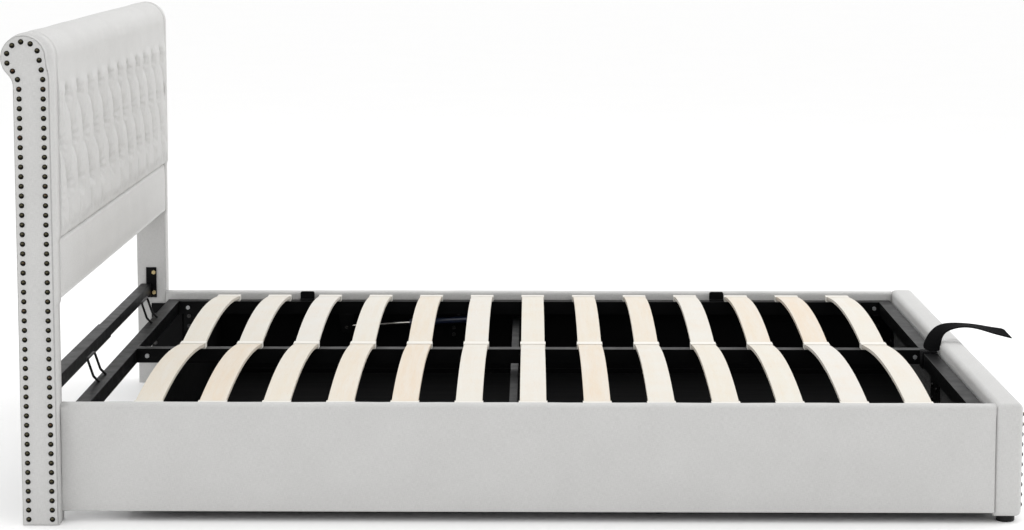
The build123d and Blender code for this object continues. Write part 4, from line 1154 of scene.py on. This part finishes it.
bandPadding = {
    "rounding": 0.010,
    "crown": 0.0035,
    "ripples": (0.12, 0.0014),
    "fades": (0.03, 0.04),  # along the bed's width and upwards
    "puckers": (0.014, 0.0006),
    "puckerReach": 0.045,
    "endDip": 0.002,
    "endReach": 0.012,
    "step": 0.012,
    "fill": 0.9,
}


def makeLowerBand(band):
    low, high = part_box("headboard_lower_pad")
    panelLow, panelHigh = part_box("headboard_frame")
    rounding = band["rounding"]
    shape = boxBetween((panelHigh.x, low.y, low.z), high)
    cutAcross(shape, 2, panelLow.z)
    flap = [face for face in facesAt(shape, 0, -1, panelHigh.x) if face.calc_center_median().z < panelLow.z]
    pushFaces(shape, flap, (low.x - panelHigh.x, 0, 0))
    roundEdges(shape, edgesAlong(shape, 1, {0: high.x, 2: high.z}, {0: high.x, 2: low.z}), rounding, 5)
    cutEvenly(shape, (1, 2), low, high, band["step"])
    for vert in shape.verts:
        place = vert.co
        if place.x < high.x - rounding * 0.9:
            continue
        endGap, upGap = [inFrom(place, low, high, axis) for axis in (1, 2)]
        endFade, upFade = [smoothStep(gap / run) for gap, run in zip((endGap, upGap), band["fades"])]
        puckers = ripple(Vector((0, place.y, place.z * 0.25)), band["puckers"])
        puckers *= 1 - smoothStep(upGap / band["puckerReach"])
        place.x += (band["crown"] + ripple(place, band["ripples"])) * upFade * endFade + puckers
        place.x -= band["endDip"] * (1 - smoothStep(endGap / band["endReach"]))
    finishPadding("headboardLowerBand", shape, "headboard_lower_pad")


makeLowerBand(bandPadding)

backCloth = {
    "crown": 0.0022,
    "rounding": 0.002,
    "drag": (0.10, 0.0016),
    "hemGap": 0.014,
    "hem": 0.0012,
    "hemWidth": 0.004,
    "hemFade": (0.02, 0.08),
    "upFade": 0.08,
    "step": 0.02,
    "fill": 0.9,
}


def makeBackCloth(back):
    low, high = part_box("headboard_back_cover")
    rounding, hemGap = back["rounding"], back["hemGap"]
    shape = boxBetween(low, (high.x, high.y, high.z - rounding))
    roundEdges(shape, edgesAlong(shape, 1, {0: low.x, 2: low.z}) +
               edgesAlong(shape, 2, {0: low.x, 1: low.y}, {0: low.x, 1: high.y}), rounding, 2)
    cutEvenly(shape, (1,), low, high, back["step"])
    cutEvenly(shape, (2,), low, high, back["step"] / 2)
    for side in (low.y + hemGap, high.y - hemGap):
        cutAcross(shape, 1, side)
    for vert in shape.verts:
        place = vert.co
        if place.x > low.x + rounding * 1.1:
            continue
        endGap, upGap = [inFrom(place, low, high, axis) for axis in (1, 2)]
        swell = back["crown"] + ripple(Vector((0, place.y * 0.4, place.z)), back["drag"])
        swell *= smoothStep(upGap / back["upFade"]) * smoothStep(endGap, *back["hemFade"])
        place.x += back["hem"] * bell(endGap, hemGap, back["hemWidth"]) - swell
    finishPadding("headboardBackCloth", shape, "headboard_back_cover")


makeBackCloth(backCloth)
print("headboard finished")


# Pull strap: black webbing looped round the foot rail, its free end twisted over the footboard
strapRoute = {
    "runShares": (0.0, 0.01, 0.04, 0.095, 0.195, 0.38, 0.56, 0.75, 0.88, 1.0),
    "riseShares": (0.0, 0.245, 0.51, 0.78, 0.94, 1.0, 0.94, 0.79, 0.72, 0.61),
    "turns": (84, 80, 70, 48, 25, 5, 8, 18, 27, 30),
    "widths": (0.044, 0.042, 0.038, 0.033, 0.031, 0.031, 0.031, 0.032, 0.031, 0.024),
    "rise": 0.0675,
    "reach": 0.120,
    "thickness": 0.003,
    "shownThickness": 0.00291,
    "tipCut": 0.020,
    "wrapStart": 0.012,
    "wrapEnd": 0.011,
}


def sewRibbon(shape, places, turns, widths, tipCut):
    # an edge across the strap, drawn out along its route, with its run and width kept as UVs
    uvLayer = shape.loops.layers.uv.verify()
    creaseLayer = shape.verts.layers.float.new("crease_vert")
    edge = None
    runs = {}
    run = 0.0
    for index, place in enumerate(places):
        before = places[max(index - 1, 0)]
        after = places[min(index + 1, len(places) - 1)]
        ahead = (after - before).normalized()
        turn = radians(turns[index])
        across = Vector((-ahead.z * sin(turn), cos(turn), ahead.x * sin(turn))) * widths[index] / 2
        if edge is None:
            edge = shape.edges.new([shape.verts.new(place), shape.verts.new(place)])
        else:
            made = bmesh.ops.extrude_edge_only(shape, edges=[edge])["geom"]
            edge = [item for item in made if isinstance(item, bmesh.types.BMEdge)
                    and all(vert not in runs for vert in item.verts)][0]
            run += (place - before).length
        first, second = edge.verts
        if index and (first.co - sides[0]).length > (first.co - sides[1]).length:
            first, second = second, first
        first.co, second.co = place - across, place + across
        sides = (first.co.copy(), second.co.copy())
        if index == len(places) - 1:
            # the end is cut on the slant
            second.co -= ahead * tipCut
            first[creaseLayer] = second[creaseLayer] = 1.0
        runs[first], runs[second] = (run, 0.0), (run, 1.0)
    for face in shape.faces:
        for loop in face.loops:
            loop[uvLayer].uv = runs[loop.vert]


def finishStrap(name, places, turns, widths, tipCut, strap):
    shape = bmesh.new()
    sewRibbon(shape, places, turns, widths, tipCut)
    piece = finishPiece(name, shape, "black_webbing", "platform", "pull_strap")
    if tipCut:  # only the free tail is curved
        smooth = piece.modifiers.new("webbingCurve", "SUBSURF")
        smooth.levels = smooth.render_levels = 3
    thick = piece.modifiers.new("webbingThickness", "SOLIDIFY")
    thick.thickness = strap["shownThickness"]
    thick.offset = 0.0


def makeStrap(strap):
    low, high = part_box("pull_strap")
    railLow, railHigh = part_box("frame_foot_rail")
    half = strap["thickness"] / 2
    middle = (low.y + high.y) / 2
    startX = railHigh.x - (railHigh.x - railLow.x) / 3
    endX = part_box("footboard_cover_far")[1].x + strap["reach"]
    top, bottom = railHigh.z + half, railLow.z - half
    front, back = railHigh.x + half, railLow.x - half
    tail = [Vector((startX + run * (endX - startX), middle, top + rise * strap["rise"]))
            for run, rise in zip(strap["runShares"], strap["riseShares"])]
    wrap = [Vector((x, middle, z)) for x, z in (
        (railHigh.x - strap["wrapStart"], top), (front, top), (front, bottom), (back, bottom), (back, top),
        (railHigh.x - strap["wrapEnd"], top))]
    finishStrap("pullStrapTail", tail, strap["turns"], strap["widths"], strap["tipCut"], strap)
    finishStrap("pullStrapWrap", wrap, [0.0] * len(wrap), [strap["widths"][0]] * len(wrap), 0.0, strap)


makeStrap(strapRoute)
print("strap sewn")

floorLook = {
    "size": 60.0,
    "pale": (0.995, 0.995, 0.993, 1.0),
    "shade": (0.98, 0.98, 0.978, 1.0),
}


def layFloor(look):
    shape = bmesh.new()
    bmesh.ops.create_grid(shape, x_segments=2, y_segments=2, size=look["size"])
    floor = addMesh("studioFloor", shape)
    material, tree = startMaterial("palePaper", 0.1, {"Roughness": 0.9})
    clouds = noiseValue(coordsOf(tree)["Object"], 2.0, 3.0)
    wire(tree.nodes["Principled BSDF"].inputs, {"Base Color": mixColours(clouds, look["shade"], look["pale"])})
    floor.data.materials.append(material)


layFloor(floorLook)
print("floor laid")
